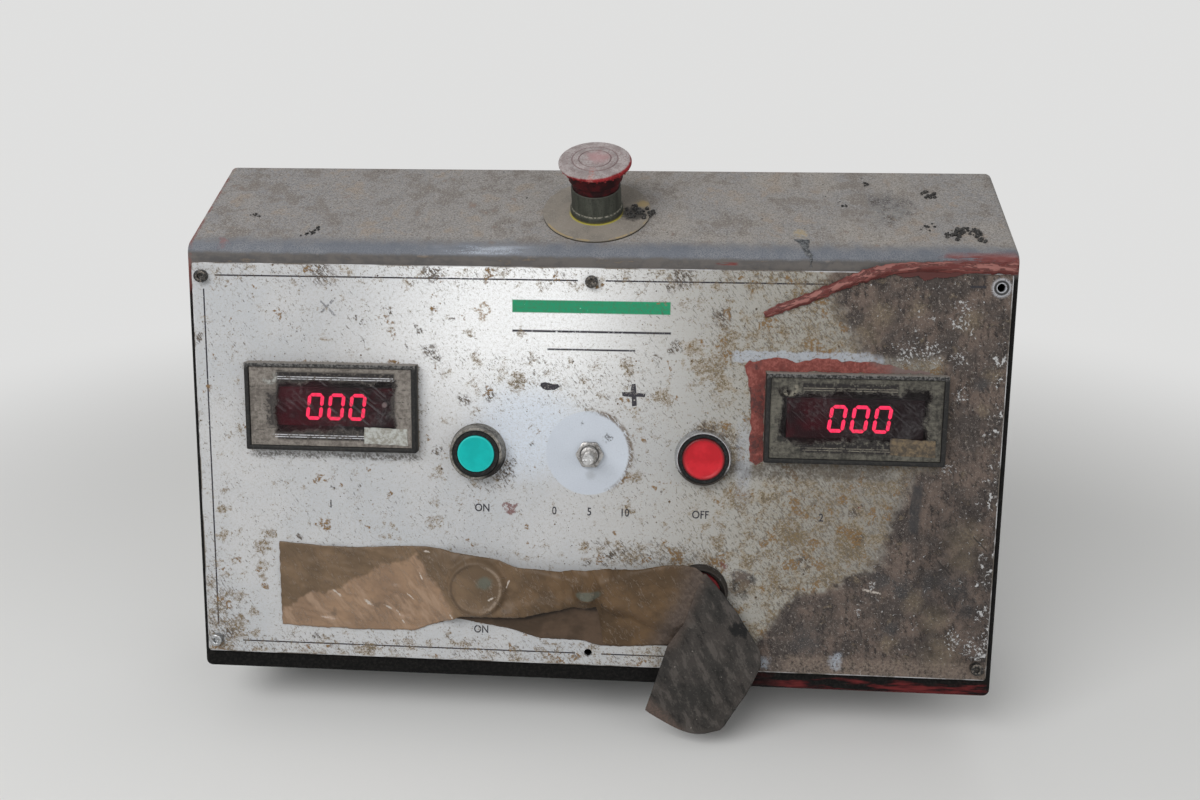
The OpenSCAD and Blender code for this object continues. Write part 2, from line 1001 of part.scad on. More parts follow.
gland_locknut();
packing_tape();
tape_flap();
peeled_paint_strip();
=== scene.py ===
import math

import bmesh
import bpy
from mathutils import Matrix, Vector, noise


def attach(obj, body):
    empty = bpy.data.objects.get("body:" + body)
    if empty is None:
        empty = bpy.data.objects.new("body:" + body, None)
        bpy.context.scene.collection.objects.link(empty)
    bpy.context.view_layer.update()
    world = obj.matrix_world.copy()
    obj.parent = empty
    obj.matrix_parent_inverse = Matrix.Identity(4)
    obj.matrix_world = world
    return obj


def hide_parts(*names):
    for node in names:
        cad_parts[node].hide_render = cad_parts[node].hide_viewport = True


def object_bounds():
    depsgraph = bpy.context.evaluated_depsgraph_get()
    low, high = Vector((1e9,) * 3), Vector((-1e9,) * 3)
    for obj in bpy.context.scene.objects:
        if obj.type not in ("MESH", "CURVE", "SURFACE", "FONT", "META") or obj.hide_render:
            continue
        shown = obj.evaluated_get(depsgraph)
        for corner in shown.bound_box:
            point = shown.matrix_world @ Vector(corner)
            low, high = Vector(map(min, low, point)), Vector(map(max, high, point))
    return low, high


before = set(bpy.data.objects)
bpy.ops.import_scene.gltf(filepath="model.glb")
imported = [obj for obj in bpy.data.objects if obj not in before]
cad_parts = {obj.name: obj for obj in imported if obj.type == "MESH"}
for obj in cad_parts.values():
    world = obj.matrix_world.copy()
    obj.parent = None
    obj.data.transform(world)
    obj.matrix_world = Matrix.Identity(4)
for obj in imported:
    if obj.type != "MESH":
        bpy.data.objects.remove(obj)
cad_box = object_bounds()


# Housing: one sheet of 2 mm steel folded into a console, with a shallow pan welded on at each end.
# It was painted red and then black, and years of warm dust lie on every face that looks up.
lean = math.radians(10)
rise = math.radians(24)
tilt = math.pi / 2 - lean
plate_seat = Vector((0, -101.097, -16.709))
front_corner = Vector((0, -79.478, 105.901))
plate_t = 2


def on_plate(x, y, z=0.0):
    """A place on the front plate, from millimetres to the right, up the face and out of it."""
    return (plate_seat + Matrix.Rotation(tilt, 3, "X") @ Vector((x, y, z + plate_t))) / 1000


def on_top(x, y, z=0.0):
    """A place on the top, from millimetres to the right, up the slope and out of it."""
    return (front_corner + Matrix.Rotation(rise, 3, "X") @ Vector((x, y, z))) / 1000


class Field:
    """A socket of a material. Sums and products of fields add their Math nodes."""

    def __init__(self, socket):
        self.socket = socket

    def node(self, kind, settings=None, values=None, out=0):
        tree = self.socket.id_data
        made = tree.nodes.new("ShaderNode" + kind)
        for name, value in (settings or {}).items():
            setattr(made, name, value)
        for key, value in (values or {}).items():
            entry = made.inputs[key]
            if isinstance(value, Field):
                tree.links.new(value.socket, entry)
            else:
                entry.default_value = (*value, 1) if entry.type == "RGBA" and len(value) == 3 else value
        return Field(made.outputs[out]) if made.outputs else None

    def math(self, operation, second=0.0):
        return self.node("Math", {"operation": operation}, {0: self, 1: second})

    def __add__(self, other):
        return self.math("ADD", other)

    __radd__ = __add__

    def __mul__(self, other):
        return self.math("MULTIPLY", other)

    __rmul__ = __mul__

    def __sub__(self, other):
        return self.math("SUBTRACT", other)

    def __rsub__(self, other):
        return self.node("Math", {"operation": "SUBTRACT"}, {0: other, 1: self})

    def blend(self, other, share=0.5):
        return self * (1 - share) + other * share

    def size(self):
        return self.math("ABSOLUTE")

    def within(self, outer, inner):
        """1 where this is nearer to 0 than inner, and 0 beyond outer."""
        return self.size().step(outer, inner)

    def either(self, other):
        return self.math("MAXIMUM", other)

    def both(self, other):
        return self.math("MINIMUM", other)

    def step(self, low, high):
        """Rises softly from 0 at low to 1 at high."""
        return self.node("MapRange", {"interpolation_type": "SMOOTHSTEP"},
                         {"Value": self, "From Min": low, "From Max": high})

    def mix(self, first, second):
        """The first colour where this field is 0 and the second where it is 1."""
        return self.node("Mix", {"data_type": "RGBA"}, {0: self, 6: first, 7: second}, 2)

    def lay(self, mask, shade):
        """Lays a shade over this colour where the mask is 1."""
        self.socket = mask.mix(Field(self.socket), shade).socket

    def other(self, out):
        """Another output of the same node."""
        return Field(self.socket.node.outputs[out])

    def part(self, axis):
        return self.node("SeparateXYZ", {}, {0: self}, axis)

    def flat(self):
        """This place pressed flat, so that nothing changes along z."""
        return self.node("CombineXYZ", {}, {0: self.part(0), 1: self.part(1)})

    def stretch(self, x, y, z):
        return self.node("Mapping", {}, {"Vector": self, "Scale": (x, y, z)})

    def seen_from(self, origin, turn):
        """This place in a frame at origin, turned about X."""
        return self.node("Mapping", {"vector_type": "TEXTURE"},
                         {"Vector": self, "Location": origin, "Rotation": (turn, 0, 0)})

    def drawn_out(self, turn, long, short):
        """This place squeezed along a direction, so that noise on it is drawn out that way."""
        return self.node("Mapping", {"vector_type": "TEXTURE"},
                         {"Vector": self, "Rotation": (0, 0, turn), "Scale": (long, short, 1)})

    def far(self, x, y, z=0.0):
        return self.node("VectorMath", {"operation": "DISTANCE"}, {0: self, 1: (x, y, z)}, 1)

    def grain(self, scale, detail=3.0, roughness=0.6, twist=0.0):
        """Noise with so many waves to the millimetre."""
        return self.node("TexNoise", {}, {"Vector": self, "Scale": scale, "Detail": detail,
                                          "Roughness": roughness, "Distortion": twist})

    def spots(self, scale, share, radius):
        """Round spots on a share of the cells of a grid with so many cells to the millimetre."""
        cell = self.node("TexVoronoi", {}, {"Vector": self, "Scale": scale})
        chance = self.node("SeparateColor", {}, {0: cell.other(1)})
        chosen = chance.step(share, share - 0.02) if not isinstance(share, Field) else \
            (share - chance).step(0.0, 0.02)
        ragged = self.grain(scale * 2.5, 2.0)
        reach = chance.other(1) * radius + radius * 0.35
        return (reach - cell - ragged * radius * 0.7 + radius * 0.35).step(0.0, radius * 0.25) * chosen


def begin(name):
    """A new material and its Object coordinates in millimetres."""
    material = bpy.data.materials.new(name)
    material.use_nodes = True
    material.node_tree.nodes.clear()
    metres = Field(material.node_tree.nodes.new("ShaderNodeTexCoord").outputs["Object"])
    return material, metres.node("VectorMath", {"operation": "SCALE"}, {0: metres, "Scale": 1000.0})


def finish(mm, colour, roughness, bump=None, depth=0.1, others=None):
    """Ends a material. Bump is a field, and depth its height in millimetres. Old dull surfaces shine little."""
    values = {"Base Color": colour, "Roughness": roughness, "Specular IOR Level": 0.2, **(others or {})}
    if bump is not None:
        values["Normal"] = mm.node("Bump", {}, {"Height": bump, "Distance": depth / 1000})
    shader = mm.node("BsdfPrincipled", {}, values)
    mm.node("OutputMaterial", {}, {"Surface": shader})


def simple(name, grain, step, shades, roughness, depth, rub=0, metal=0):
    """A material of one grain between two shades. Rub is how much the grain roughens it."""
    material, mm = begin(name)
    fine = mm.grain(*grain)
    finish(mm, fine.step(*step).mix(*shades), fine * rub + roughness if rub else roughness,
           fine if depth else None, depth, {"Metallic": metal})
    return material


def dress(material, *nodes):
    for name in nodes:
        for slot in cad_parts[name].material_slots:
            slot.material = material


dusty_paint, mm = begin("dusty_paint")
top = mm.seen_from(front_corner, rise)
face = mm.seen_from(plate_seat, tilt)
x, slope, height, up = top.part(0), top.part(1), top.part(2), face.part(1)
mottle = mm.grain(0.022, 5.0)
patchy = mm.grain(0.1, 5.0, 0.65)
fine = mm.grain(0.55, 4.0, 0.75)
grit = mm.grain(1.7, 2.0, 0.7)
streaks = mm.stretch(0.15, 1, 1).grain(0.25, 4.0)
black = fine.step(0.4, 0.72).mix((0.004, 0.004, 0.004), (0.014, 0.013, 0.012))
face_up = (height + fine * 3).step(-8, -2)

# The bend under the top is worn smooth, and its dark bluish grey is a painted highlight; a brown band of dirt lies
# along the plate
band = patchy.blend(streaks, 0.4).step(0.42, 0.62).mix((0.125, 0.115, 0.108), (0.085, 0.083, 0.084))
band.lay((patchy * 0.5 + streaks * 0.5 - x.size() * 0.0004).step(0.5, 0.6) * 0.7, (0.22, 0.165, 0.115))
colour = (up + fine * 2).step(112, 115).mix(black, band)
bend_sheen = patchy.blend(mottle).step(0.4, 0.62).mix((0.15, 0.162, 0.185), (0.2, 0.207, 0.222))
bend_sheen.lay(grit.step(0.42, 0.62), (0.12, 0.128, 0.148))
rubbed_and_sheen = (up + patchy * 4 - 2).step(119, 121.5)
colour.lay(rubbed_and_sheen, bend_sheen)
# A brighter bluish patch on the bend is a painted sheen
painted_sheen = (x + 62).within(36, 12) * up.step(120, 122) * slope.step(5, 1) * streaks.blend(grit).step(0.46, 0.6)
colour.lay(painted_sheen, (0.33, 0.36, 0.41))

# Dust on the top
dust = mottle.blend(patchy).step(0.42, 0.58).mix((0.235, 0.234, 0.24), (0.315, 0.292, 0.265))
dust.lay((x * -0.004 + patchy * 2 + mottle * 2).step(2.0, 2.7) * 0.6, (0.2, 0.207, 0.228))
dust.lay(fine.blend(grit).step(0.42, 0.6), (0.31, 0.29, 0.27))
broad, speckle = mm.grain(0.05, 5.0, 0.7), mm.grain(1.1, 3.0, 0.8)
dust.lay(broad.step(0.5, 0.62) * 0.75, (0.185, 0.163, 0.147))
dust.lay(broad.step(0.47, 0.36) * 0.75, (0.3, 0.25, 0.205))
dust.lay(speckle.step(0.5, 0.62) * 0.75, (0.13, 0.118, 0.11))
dust.lay(speckle.step(0.46, 0.36) * 0.75, (0.38, 0.36, 0.34))
dust.lay(patchy.blend(fine).step(0.54, 0.66) * 0.6, (0.175, 0.158, 0.145))
dust.lay(patchy.step(0.6, 0.7) * mottle.step(0.5, 0.6) * 0.5, (0.27, 0.19, 0.15))
lying = (slope + patchy * 8 - 4 + fine * 2 - 1).step(1, 11)
colour.lay(lying * face_up, dust)
pits = (mm.spots(0.3, 0.2, 0.12) * 0.8).either(mm.spots(0.07, 0.1, 0.045))
colour.lay(pits * lying, (0.035, 0.03, 0.027))
scar = (top.node("CombineXYZ", {}, {0: x, 1: slope * 0.85}).far(166, 37) + patchy * 22 - 11).step(17, 7)
scar = scar * speckle.blend(fine).step(0.44, 0.54) * face_up
colour.lay(scar * 0.9, patchy.blend(fine).step(0.44, 0.56).mix((0.07, 0.056, 0.052), (0.25, 0.25, 0.25)))
chip = (((x - 117.6 + slope * 0.3 + patchy * 9 - 4.5 + fine * 5 - 2.5).size()
         - (slope + 5) * 0.2).step(0.4, -0.2) * slope.step(12.6, 11.8) * up.step(115, 118))
colour.lay(chip, fine.step(0.4, 0.6).mix((0.05, 0.053, 0.058), (0.17, 0.175, 0.18)))
chalk = (top.flat().far(114, 17.5) + patchy * 8 - 4).step(5, 2) * fine.step(0.4, 0.5) * face_up
colour.lay(chalk * 0.6, (0.38, 0.3, 0.17))

# The sides and the back are black all over, with some dust below their upper edges
sheer = ((x.size() + fine * 0.6).step(229.4, 230).either((mm.part(1) + fine * 0.6).step(-1.2, -0.4))
         * (1 - face_up))
film = (height + patchy * 34 + streaks * 14).step(-26, 12) * 0.75
colour.lay(sheer, film.mix(black, (0.1, 0.093, 0.088)))

# Red undercoat where the black is worn off: the left edge, the upper right corner and the low right rim
ends = x.size() + fine * 5
red_left = (ends + x * -0.02).step(232.5, 235) * (height * -1).step(34, 10)
red_back = (slope + fine * 4 + patchy * 6).step(87, 90) * mottle.step(0.4, 0.5) * 0.8
red_corner = ((x + mm.grain(0.08, 4.0) * 60).step(212, 236) * (slope + streaks * 10).step(9, 4)
              * up.step(113, 116))
red_corner = red_corner.either((x - 73.5).within(7, 4) * (up - 118.2 + fine).within(1.1, 0.3)
                               * slope.step(12, 8))
red_corner = red_corner.either((top.flat().far(-209, 4) + patchy * 16 - 8 + fine * 4).step(6, 3)
                               * (height + 20).step(0, 4) * 0.5)
red_low = ((up * -1 + streaks * 14).step(124, 128) * (x + mottle * 120).step(140, 200)
           * (mm.part(1) + 100).step(0, -6))
red_side = ((ends - mottle * 6).step(229.5, 231) * x.step(0, 5) * (up + fine * 10).step(-60, -40)
            * patchy.step(0.42, 0.5))
pink = streaks.step(0.4, 0.62).mix((0.15, 0.04, 0.037), (0.27, 0.12, 0.11))
colour.lay(red_corner * streaks.step(0.36, 0.46), pink)
colour.lay(red_left.either(red_back) * patchy.step(0.4, 0.55) * 0.75, (0.2, 0.075, 0.065))
colour.lay(red_low.either(red_side) * streaks.step(0.42, 0.52),
           streaks.step(0.45, 0.62).mix((0.045, 0.008, 0.009), (0.12, 0.02, 0.02)))
finish(mm, colour, 0.85 - (rubbed_and_sheen * (1 - lying)) * 0.25 - painted_sheen * 0.2, fine * 0.7 + grit * 0.3 + mottle * 2
       + pits * -0.8 + scar * 0.6 + chip * -1.5, 0.25, others={"Specular IOR Level": 0.1})
housing = ("housing_front", "housing_top", "housing_back", "housing_underside", "left_cheek", "right_cheek")
dress(dusty_paint, *housing)


# Tar: old grease and burnt plastic that has dripped on the top and set in black crumbs.
# Each patch is strewn with lumps that stick to the dust under them.
def piece(name, points, faces, material, body="box", sharp=None, slot=None, stands_for=()):
    """A mesh with outward faces that rides on a body. Edges over sharp degrees stay sharp."""
    mesh = bpy.data.meshes.new(name)
    mesh.from_pydata([tuple(point) for point in points], [], faces)
    shell = bmesh.new()
    shell.from_mesh(mesh)
    bmesh.ops.recalc_face_normals(shell, faces=shell.faces)
    shell.to_mesh(mesh)
    shell.free()
    mesh.shade_smooth()
    if sharp:
        mesh.set_sharp_from_angle(angle=math.radians(sharp))
    mesh.materials.append(material)
    made = bpy.data.objects.new(name, mesh)
    bpy.context.scene.collection.objects.link(made)
    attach(made, body)
    if stands_for:
        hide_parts(*stands_for)
    return made


def branch(tree, kind, settings=None, values=None):
    """A node of a geometry tree. Values are links or plain numbers."""
    made = tree.nodes.new(kind)
    for name, value in (settings or {}).items():
        setattr(made, name, value)
    for key, value in (values or {}).items():
        if isinstance(value, bpy.types.NodeSocket):
            tree.links.new(value, made.inputs[key])
        else:
            made.inputs[key].default_value = value
    return made


def open_tree(name, inputs):
    """A geometry tree with named inputs, given as (name, socket type, value)."""
    tree = bpy.data.node_groups.new(name, "GeometryNodeTree")
    tree.interface.new_socket("Geometry", in_out="INPUT", socket_type="NodeSocketGeometry")
    for label, kind, value in inputs:
        made = tree.interface.new_socket(label, in_out="INPUT", socket_type="NodeSocket" + kind)
        made.default_value = value
    tree.interface.new_socket("Geometry", in_out="OUTPUT", socket_type="NodeSocketGeometry")
    return tree, tree.nodes.new("NodeGroupInput").outputs


def close_tree(tree, geometry, material):
    real = branch(tree, "GeometryNodeRealizeInstances", {}, {0: geometry})
    done = branch(tree, "GeometryNodeSetMaterial", {}, {0: real.outputs[0], "Material": material})
    branch(tree, "NodeGroupOutput", {}, {0: done.outputs[0]})


def grown(made, tree, sizes):
    """Runs a tree on a piece and turns the result into the piece's own plain mesh."""
    grow = made.modifiers.new(tree.name, "NODES")
    grow.node_group = tree
    for item in tree.interface.items_tree:
        if item.item_type == "SOCKET" and item.in_out == "INPUT" and item.name in sizes:
            grow[item.identifier] = sizes[item.name]
    view = bpy.context.evaluated_depsgraph_get()
    mesh = bpy.data.meshes.new_from_object(made.evaluated_get(view))
    made.modifiers.clear()
    made.data = mesh
    mesh.name = made.name
    return made


tar = simple("tar", (1.2, 4.0, 0.7), (0.45, 0.7), ((0.02, 0.02, 0.02), (0.14, 0.13, 0.12)), 0.62, 0.4)

crumbs, given = open_tree("tar_crumbs", [("Lump size", "Float", 0.002), ("Per square metre", "Float", 30000.0),
                                         ("Seed", "Int", 1)])
strewn = branch(crumbs, "GeometryNodeDistributePointsOnFaces", {},
                {"Mesh": given["Geometry"], "Density": given["Per square metre"], "Seed": given["Seed"]})
ball = branch(crumbs, "GeometryNodeMeshIcoSphere", {}, {"Radius": given["Lump size"], "Subdivisions": 2})
where = branch(crumbs, "GeometryNodeInputPosition")
rough = branch(crumbs, "ShaderNodeTexNoise", {}, {"Vector": where.outputs[0], "Scale": 900.0})
knob = branch(crumbs, "ShaderNodeVectorMath", {"operation": "SUBTRACT"},
              {0: rough.outputs["Color"], 1: (0.5, 0.5, 0.5)})
knob = branch(crumbs, "ShaderNodeVectorMath", {"operation": "SCALE"}, {0: knob.outputs[0], "Scale": 0.0016})
ball = branch(crumbs, "GeometryNodeSetPosition", {}, {"Geometry": ball.outputs[0], "Offset": knob.outputs[0]})
turn = branch(crumbs, "FunctionNodeRandomValue", {"data_type": "FLOAT_VECTOR"},
              {"Min": (0.0, 0.0, 0.0), "Max": (6.28, 6.28, 6.28), "Seed": given["Seed"]})
grow = branch(crumbs, "FunctionNodeRandomValue", {"data_type": "FLOAT"},
              {2: 0.25, 3: 1.15, "Seed": given["Seed"]})
laid = branch(crumbs, "GeometryNodeInstanceOnPoints", {},
              {"Points": strewn.outputs["Points"], "Instance": ball.outputs[0],
               "Rotation": turn.outputs[0], "Scale": grow.outputs[1]})
close_tree(crumbs, laid.outputs[0], tar)
tar_patches = {
    "tar_by_mushroom": ([(16, 36), (18, 42), (22, 42), (26, 38), (30, 40), (34, 35), (31, 29), (25, 28),
                         (18, 30)], 0.0014, 260000.0, 3),
    "tar_behind_mushroom": ([(15.6, 52), (18.5, 56), (21.5, 51), (18.5, 47.5)], 0.001, 250000.0, 12),
    "tar_back": ([(185, 60), (190, 63), (195.5, 58), (193.5, 54.5), (187.4, 55)], 0.0013, 330000.0, 5),
    "tar_middle": ([(178, 22), (183, 27), (186, 25), (187, 29), (190, 26), (184, 21)], 0.0008, 330000.0, 8),
    "tar_right": ([(192, 17), (196.3, 23), (202, 27), (209.4, 23.5), (214, 17), (215.1, 12), (211, 10.5),
                   (208.5, 16), (204.6, 20), (201, 18), (199, 13.4), (194, 14)], 0.0013, 330000.0, 4),
    "tar_left": ([(-201.6, 29.5), (-197.4, 31.4), (-193.7, 29), (-196, 26.6)], 0.001, 400000.0, 6),
    "tar_streak": ([(-167.4, 9.5), (-162, 15), (-156, 20.5), (-156.8, 13), (-162, 9)], 0.0007, 300000.0, 7),
    "tar_speck": ([(153, 68.5), (155.5, 72), (157.5, 69), (155, 66.5)], 0.0011, 450000.0, 9),
    "tar_dots": ([(124, 60.5), (126, 63), (148, 41), (146, 38.5)], 0.0009, 60000.0, 10),
}
for name, (outline, lump, thick, seed) in tar_patches.items():
    lift = 1.2 if name == "tar_by_mushroom" else 0
    patch = piece(name, [on_top(x, y, lump * 200 + lift) for x, y in outline], [range(len(outline))], tar)
    grown(patch, crumbs, {"Lump size": lump, "Per square metre": thick, "Seed": seed})


# Front plate: 2 mm aluminium, stove white, with a thin printed border and plain stripes.
# Six screws hold it on the housing. Dirt has bitten into the print, most of all on the right.
screw_x, screw_y, meter_y = 220, 107, 34.5
button_x, upper_row, lower_row = 63.5, 10.5, -67.5
printed, mm = begin("printed_aluminium")
face = mm.seen_from(plate_seat, tilt)
x, y = face.part(0), face.part(1)
flat = face.flat()
cloudy = flat.grain(0.012, 4.0)
blotch = flat.grain(0.05, 5.0, 0.65)
patchy = flat.grain(0.13, 5.0, 0.7)
fine = flat.grain(0.6, 4.0, 0.75)
grit = flat.grain(1.5, 2.0, 0.7)
hatch = flat.drawn_out(-0.9, 2, 0.7).grain(0.55, 4.0, 0.75)
strokes = flat.stretch(1, 0.22, 1).grain(0.4, 4.0, 0.7)


def bar(left, right, low, high, soft=0.35):
    """A rectangle on the front, 1 inside and 0 outside."""
    across = (x - (left + right) / 2).size() * -1 + (right - left) / 2
    along = (y - (low + high) / 2).size() * -1 + (high - low) / 2
    return across.both(along).step(-soft, soft)


def warped(place, scale, reach):
    """The place pushed about by noise, up to half of reach in millimetres."""
    push = place.node("VectorMath", {"operation": "SUBTRACT"},
                      {0: place.grain(scale, 3.0).other(1), 1: (0.5, 0.5, 0.5)})
    return push.node("VectorMath", {"operation": "MULTIPLY_ADD"}, {0: push, 1: (reach, reach, 0), 2: place})


crooked = warped(warped(flat, 0.09, 14), 0.45, 5)


def blots(places, soft=0.5):
    """Crooked blots, each given as x, y and radius. 1 inside and 0 outside."""
    near = None
    for cx, cy, reach in places:
        this = crooked.far(cx, cy) * (1 / reach)
        near = this if near is None else near.both(this)
    return near.step(1 + soft, 1 - soft)


# The white coat: a painted highlight makes it bright at the top of the middle; it is greyer to the left and darker
# and browner to the right
white = cloudy.step(0.35, 0.62).mix((0.43, 0.445, 0.465), (0.485, 0.49, 0.5))
white.lay((x + 38).within(120, 15) * y.step(5, 75), (0.84, 0.85, 0.86))
# A bluish painted reflection of a lamp, left of the middle
painted_glare = (flat.stretch(1, 1.2, 1).far(-36, 27) + patchy * 14 - 7).step(44, 14)
white.lay(painted_glare * 0.65, (0.57, 0.64, 0.74))
white.lay((x + cloudy * 60 - 30).step(-30, 120), (0.29, 0.28, 0.25))
white.lay((x + cloudy * 50 - 25).step(100, 165), (0.22, 0.208, 0.185))
white.lay(grit.blend(fine).step(0.44, 0.62) * 0.4, (0.36, 0.33, 0.28))
ink = bar(-212.7, -7.6, 107.1, 107.95, 0.1).either(bar(7.6, 206, 107.1, 107.95, 0.1))
ink = ink.either(bar(-219.9, -219.05, -98, 99.8, 0.1)).either(bar(219.2, 219.7, -98, 99.8, 0.12))
ink = ink.either(bar(-205, -7.5, -107.9, -107.1, 0.1)).either(bar(7.7, 205, -107.9, -107.1, 0.1))
ink = ink.either(bar(-44, 44, 78.7, 79.9)).either(bar(-24.5, 24.5, 68.8, 69.8))
colour = (ink * fine.step(0.3, 0.42)).mix(white, (0.016, 0.014, 0.022))
green_bar = bar(-44, 43.5, 89.5, 96.5) * (fine * 0.7 + patchy * 0.5).step(0.38, 0.46)
colour.lay(green_bar, fine.step(0.4, 0.6).mix((0.012, 0.25, 0.12), (0.03, 0.2, 0.1)))

# How dirty each place is
right = (x + cloudy * 80 - 40).step(10, 130)
near_top = (y + patchy * 26).step(108, 122) * (0.4 + right * 0.5)
near_low = (y * -1 + patchy * 30).step(108, 124)
round_meters = ((x.size() - 146).size() - 47).either((y - meter_y).size() - 23)
beside_meter = (round_meters + patchy * 8 + (x + 147).size() * 0.01).step(9, 4.5)
stop_halo = (flat.far(69, 14) + patchy * 12).step(29, 20)
start_halo = (flat.far(-57, 3) + patchy * 10).step(25, 19)
knob_far = flat.far(-0.8, 10.9)
knob_clean = knob_far.step(24.3, 23.6)
knob_ring = ((knob_far - 24.8 + fine * 1.6).within(2.2, 0.5) * (x + y * 0.3 + patchy * 60).step(34, 52)
             * hatch.step(0.42, 0.5))
band = (y - 46 + x * 0.3).within(60, 8) * (x + 15).within(100, 25)
dirty = (right * 0.8).either(near_top).either(near_low * 0.55).either(beside_meter).either(stop_halo)
dirty = dirty.either(start_halo * 0.55).either(band * 0.4).either(0.16) * (1 - knob_clean * 0.9)
low_left = (x * -1 + patchy * 24).step(204, 228) * (y * -1).step(20, 95)
over_tape = (y + 47).within(13, 3) * x.step(-15, 12)
dirty = dirty.either(low_left * 0.8).either(over_tape * 0.75)
# Less dirt is drawn under the painted reflection and the painted highlight at the top middle
dirty = dirty - painted_glare * 0.2 - (x + 25).within(60, 25) * y.step(62, 72) * y.step(104, 98) * 0.35

# Tan stains, brown mottling and dark specks, thicker where it is dirty
tan_blots = blots([(-212.5, -16, 2.6), (-215.7, -26, 2.4), (-214, -42, 3.6), (-204, 17.7, 3.2),
                   (-202, 49, 2.6), (-198, -91, 3), (-88.8, -31, 4.4), (-119, -43, 3.4), (-115, -34, 2),
                   (-86, -1, 3), (-82.5, 55, 4), (-66, 63, 4.4), (-68, 77, 2.4), (-37, 76, 3.4),
                   (-41, 51, 4.4), (21, 62, 4), (41, 44, 4.4), (57, 68, 6), (65, 60, 8), (72, 51, 5),
                   (76, 75, 7), (-3, -43, 2.4), (73, -40, 3.4), (90, -48, 3.4), (105, -59.5, 3.4),
                   (137, -59, 4.4), (83, -13, 6), (101, -12, 3), (114, -33, 6), (148, -36, 8), (26, -2, 4.4),
                   (22, -20, 3.4), (-130.6, -110, 4.4), (-206, -98, 5), (34.7, -106, 2), (-190, -50, 4.6),
                   (-192, -60, 4), (-193.5, -68, 2.6), (-187, -43, 3.4)], 0.7)
stain = (patchy + dirty * 0.2 + tan_blots * 0.2).step(0.6, 0.74) * fine.blend(grit, 0.4).step(0.36, 0.54)
tan_tone = blotch.step(0.4, 0.6).mix((0.26, 0.195, 0.115), (0.21, 0.17, 0.125))
colour.lay(stain * 0.72, tan_tone)
mottled = (fine * 0.5 + grit * 0.25 + patchy * 0.25 + dirty * 0.085 + tan_blots * 0.055).step(0.57, 0.63)
colour.lay(mottled * (0.85 - knob_clean * 0.6),
           blotch.step(0.42, 0.6).mix((0.12, 0.095, 0.06), (0.15, 0.105, 0.05)))
scuffs = ((hatch + dirty * 0.12).step(0.6, 0.67) * (blotch + dirty * 0.15).step(0.46, 0.56)
          * (1 - knob_clean * 0.85))
colour.lay(scuffs * 0.75, (0.115, 0.1, 0.085))
dark_blots = (blots([(-166.7, 76.8, 1), (-129, 70.7, 0.9), (-103.4, 69.3, 1), (-97.6, 81, 1.2),
                     (-94.8, 78, 1.8), (-132.5, 86, 1), (-128, 83.6, 1.2), (-113, 88, 1.6), (-118.7, 91, 1.2),
                     (-77.5, 85, 1), (-90, 68, 2.8), (-86, 62, 2.8), (-71.6, 40, 3), (-87, 10, 1.7),
                     (-224, 71, 1.8), (-148, -11.8, 1.4), (-132.5, -11, 1.2), (-167.6, -43, 1.2),
                     (-57, 44, 3.4), (42.6, 103, 2.4), (-31.7, 14.5, 1.3), (-4.4, 27, 0.9), (9, 20.6, 2),
                     (36, 65, 2.4), (45.5, 70, 3), (50, 111, 6), (72, 88, 5), (13.3, -48.4, 1.8),
                     (19, -46.3, 1.8), (-0.5, -52.6, 1.8), (8.5, -53.5, 2.4), (87.7, -63, 6), (70, -54, 4),
                     (121, -49, 4.4), (148.5, -18.6, 3), (152, -15.4, 1.8), (151, -33.4, 3), (110, -64, 2.4),
                     (-152, 110, 7), (-88, 111, 6), (-212, -103, 3), (-160, -103, 2), (-48, 0, 4),
                     (-51.5, -3, 3), (-46.5, 4, 2.4), (63, 28.5, 2), (69, 27.5, 2.4), (76, 23, 2),
                     (80, 18, 1.6)], 0.5) * hatch.blend(fine, 0.4).step(0.46, 0.52))
colour.lay(dark_blots * 0.95, fine.step(0.4, 0.6).mix((0.04, 0.035, 0.032), (0.11, 0.085, 0.065)))
flecks = flat.spots(0.2, 0.04 + dirty * 0.45, 0.12).either(flat.spots(0.5, 0.07 + dirty * 0.5, 0.15))
colour.lay(flecks * (0.95 - knob_clean * 0.75),
           blotch.step(0.42, 0.6).mix((0.06, 0.045, 0.035), (0.13, 0.075, 0.035)))
rust = (flat.grain(0.075, 5.0, 0.6) + dirty * 0.1).step(0.65, 0.7) * fine.step(0.4, 0.56) * (1 - knob_clean)
colour.lay(rust, fine.step(0.4, 0.6).mix((0.12, 0.07, 0.03), (0.2, 0.125, 0.06)))
# A dark band just under the left meter's bezel
under_meter = (y - 7.4 + patchy * 7 - 2).within(3.2, 0.6) * (x + 146.5).within(51, 47)
colour.lay(under_meter * hatch.blend(fine).step(0.42, 0.54) * 0.8, (0.075, 0.068, 0.06))
colour.lay(knob_clean * 0.96,
           grit.blend(cloudy, 0.6).step(0.3, 0.62).mix((0.53, 0.57, 0.63), (0.45, 0.485, 0.54)))
colour.lay(dark_blots * knob_clean * 0.8, (0.07, 0.07, 0.07))
colour.lay(knob_ring * 0.85, (0.12, 0.085, 0.055))
colour.lay((flat.far(0.5, -1.5) + fine * 4).step(6, 3) * 0.3, (0.2, 0.2, 0.2))
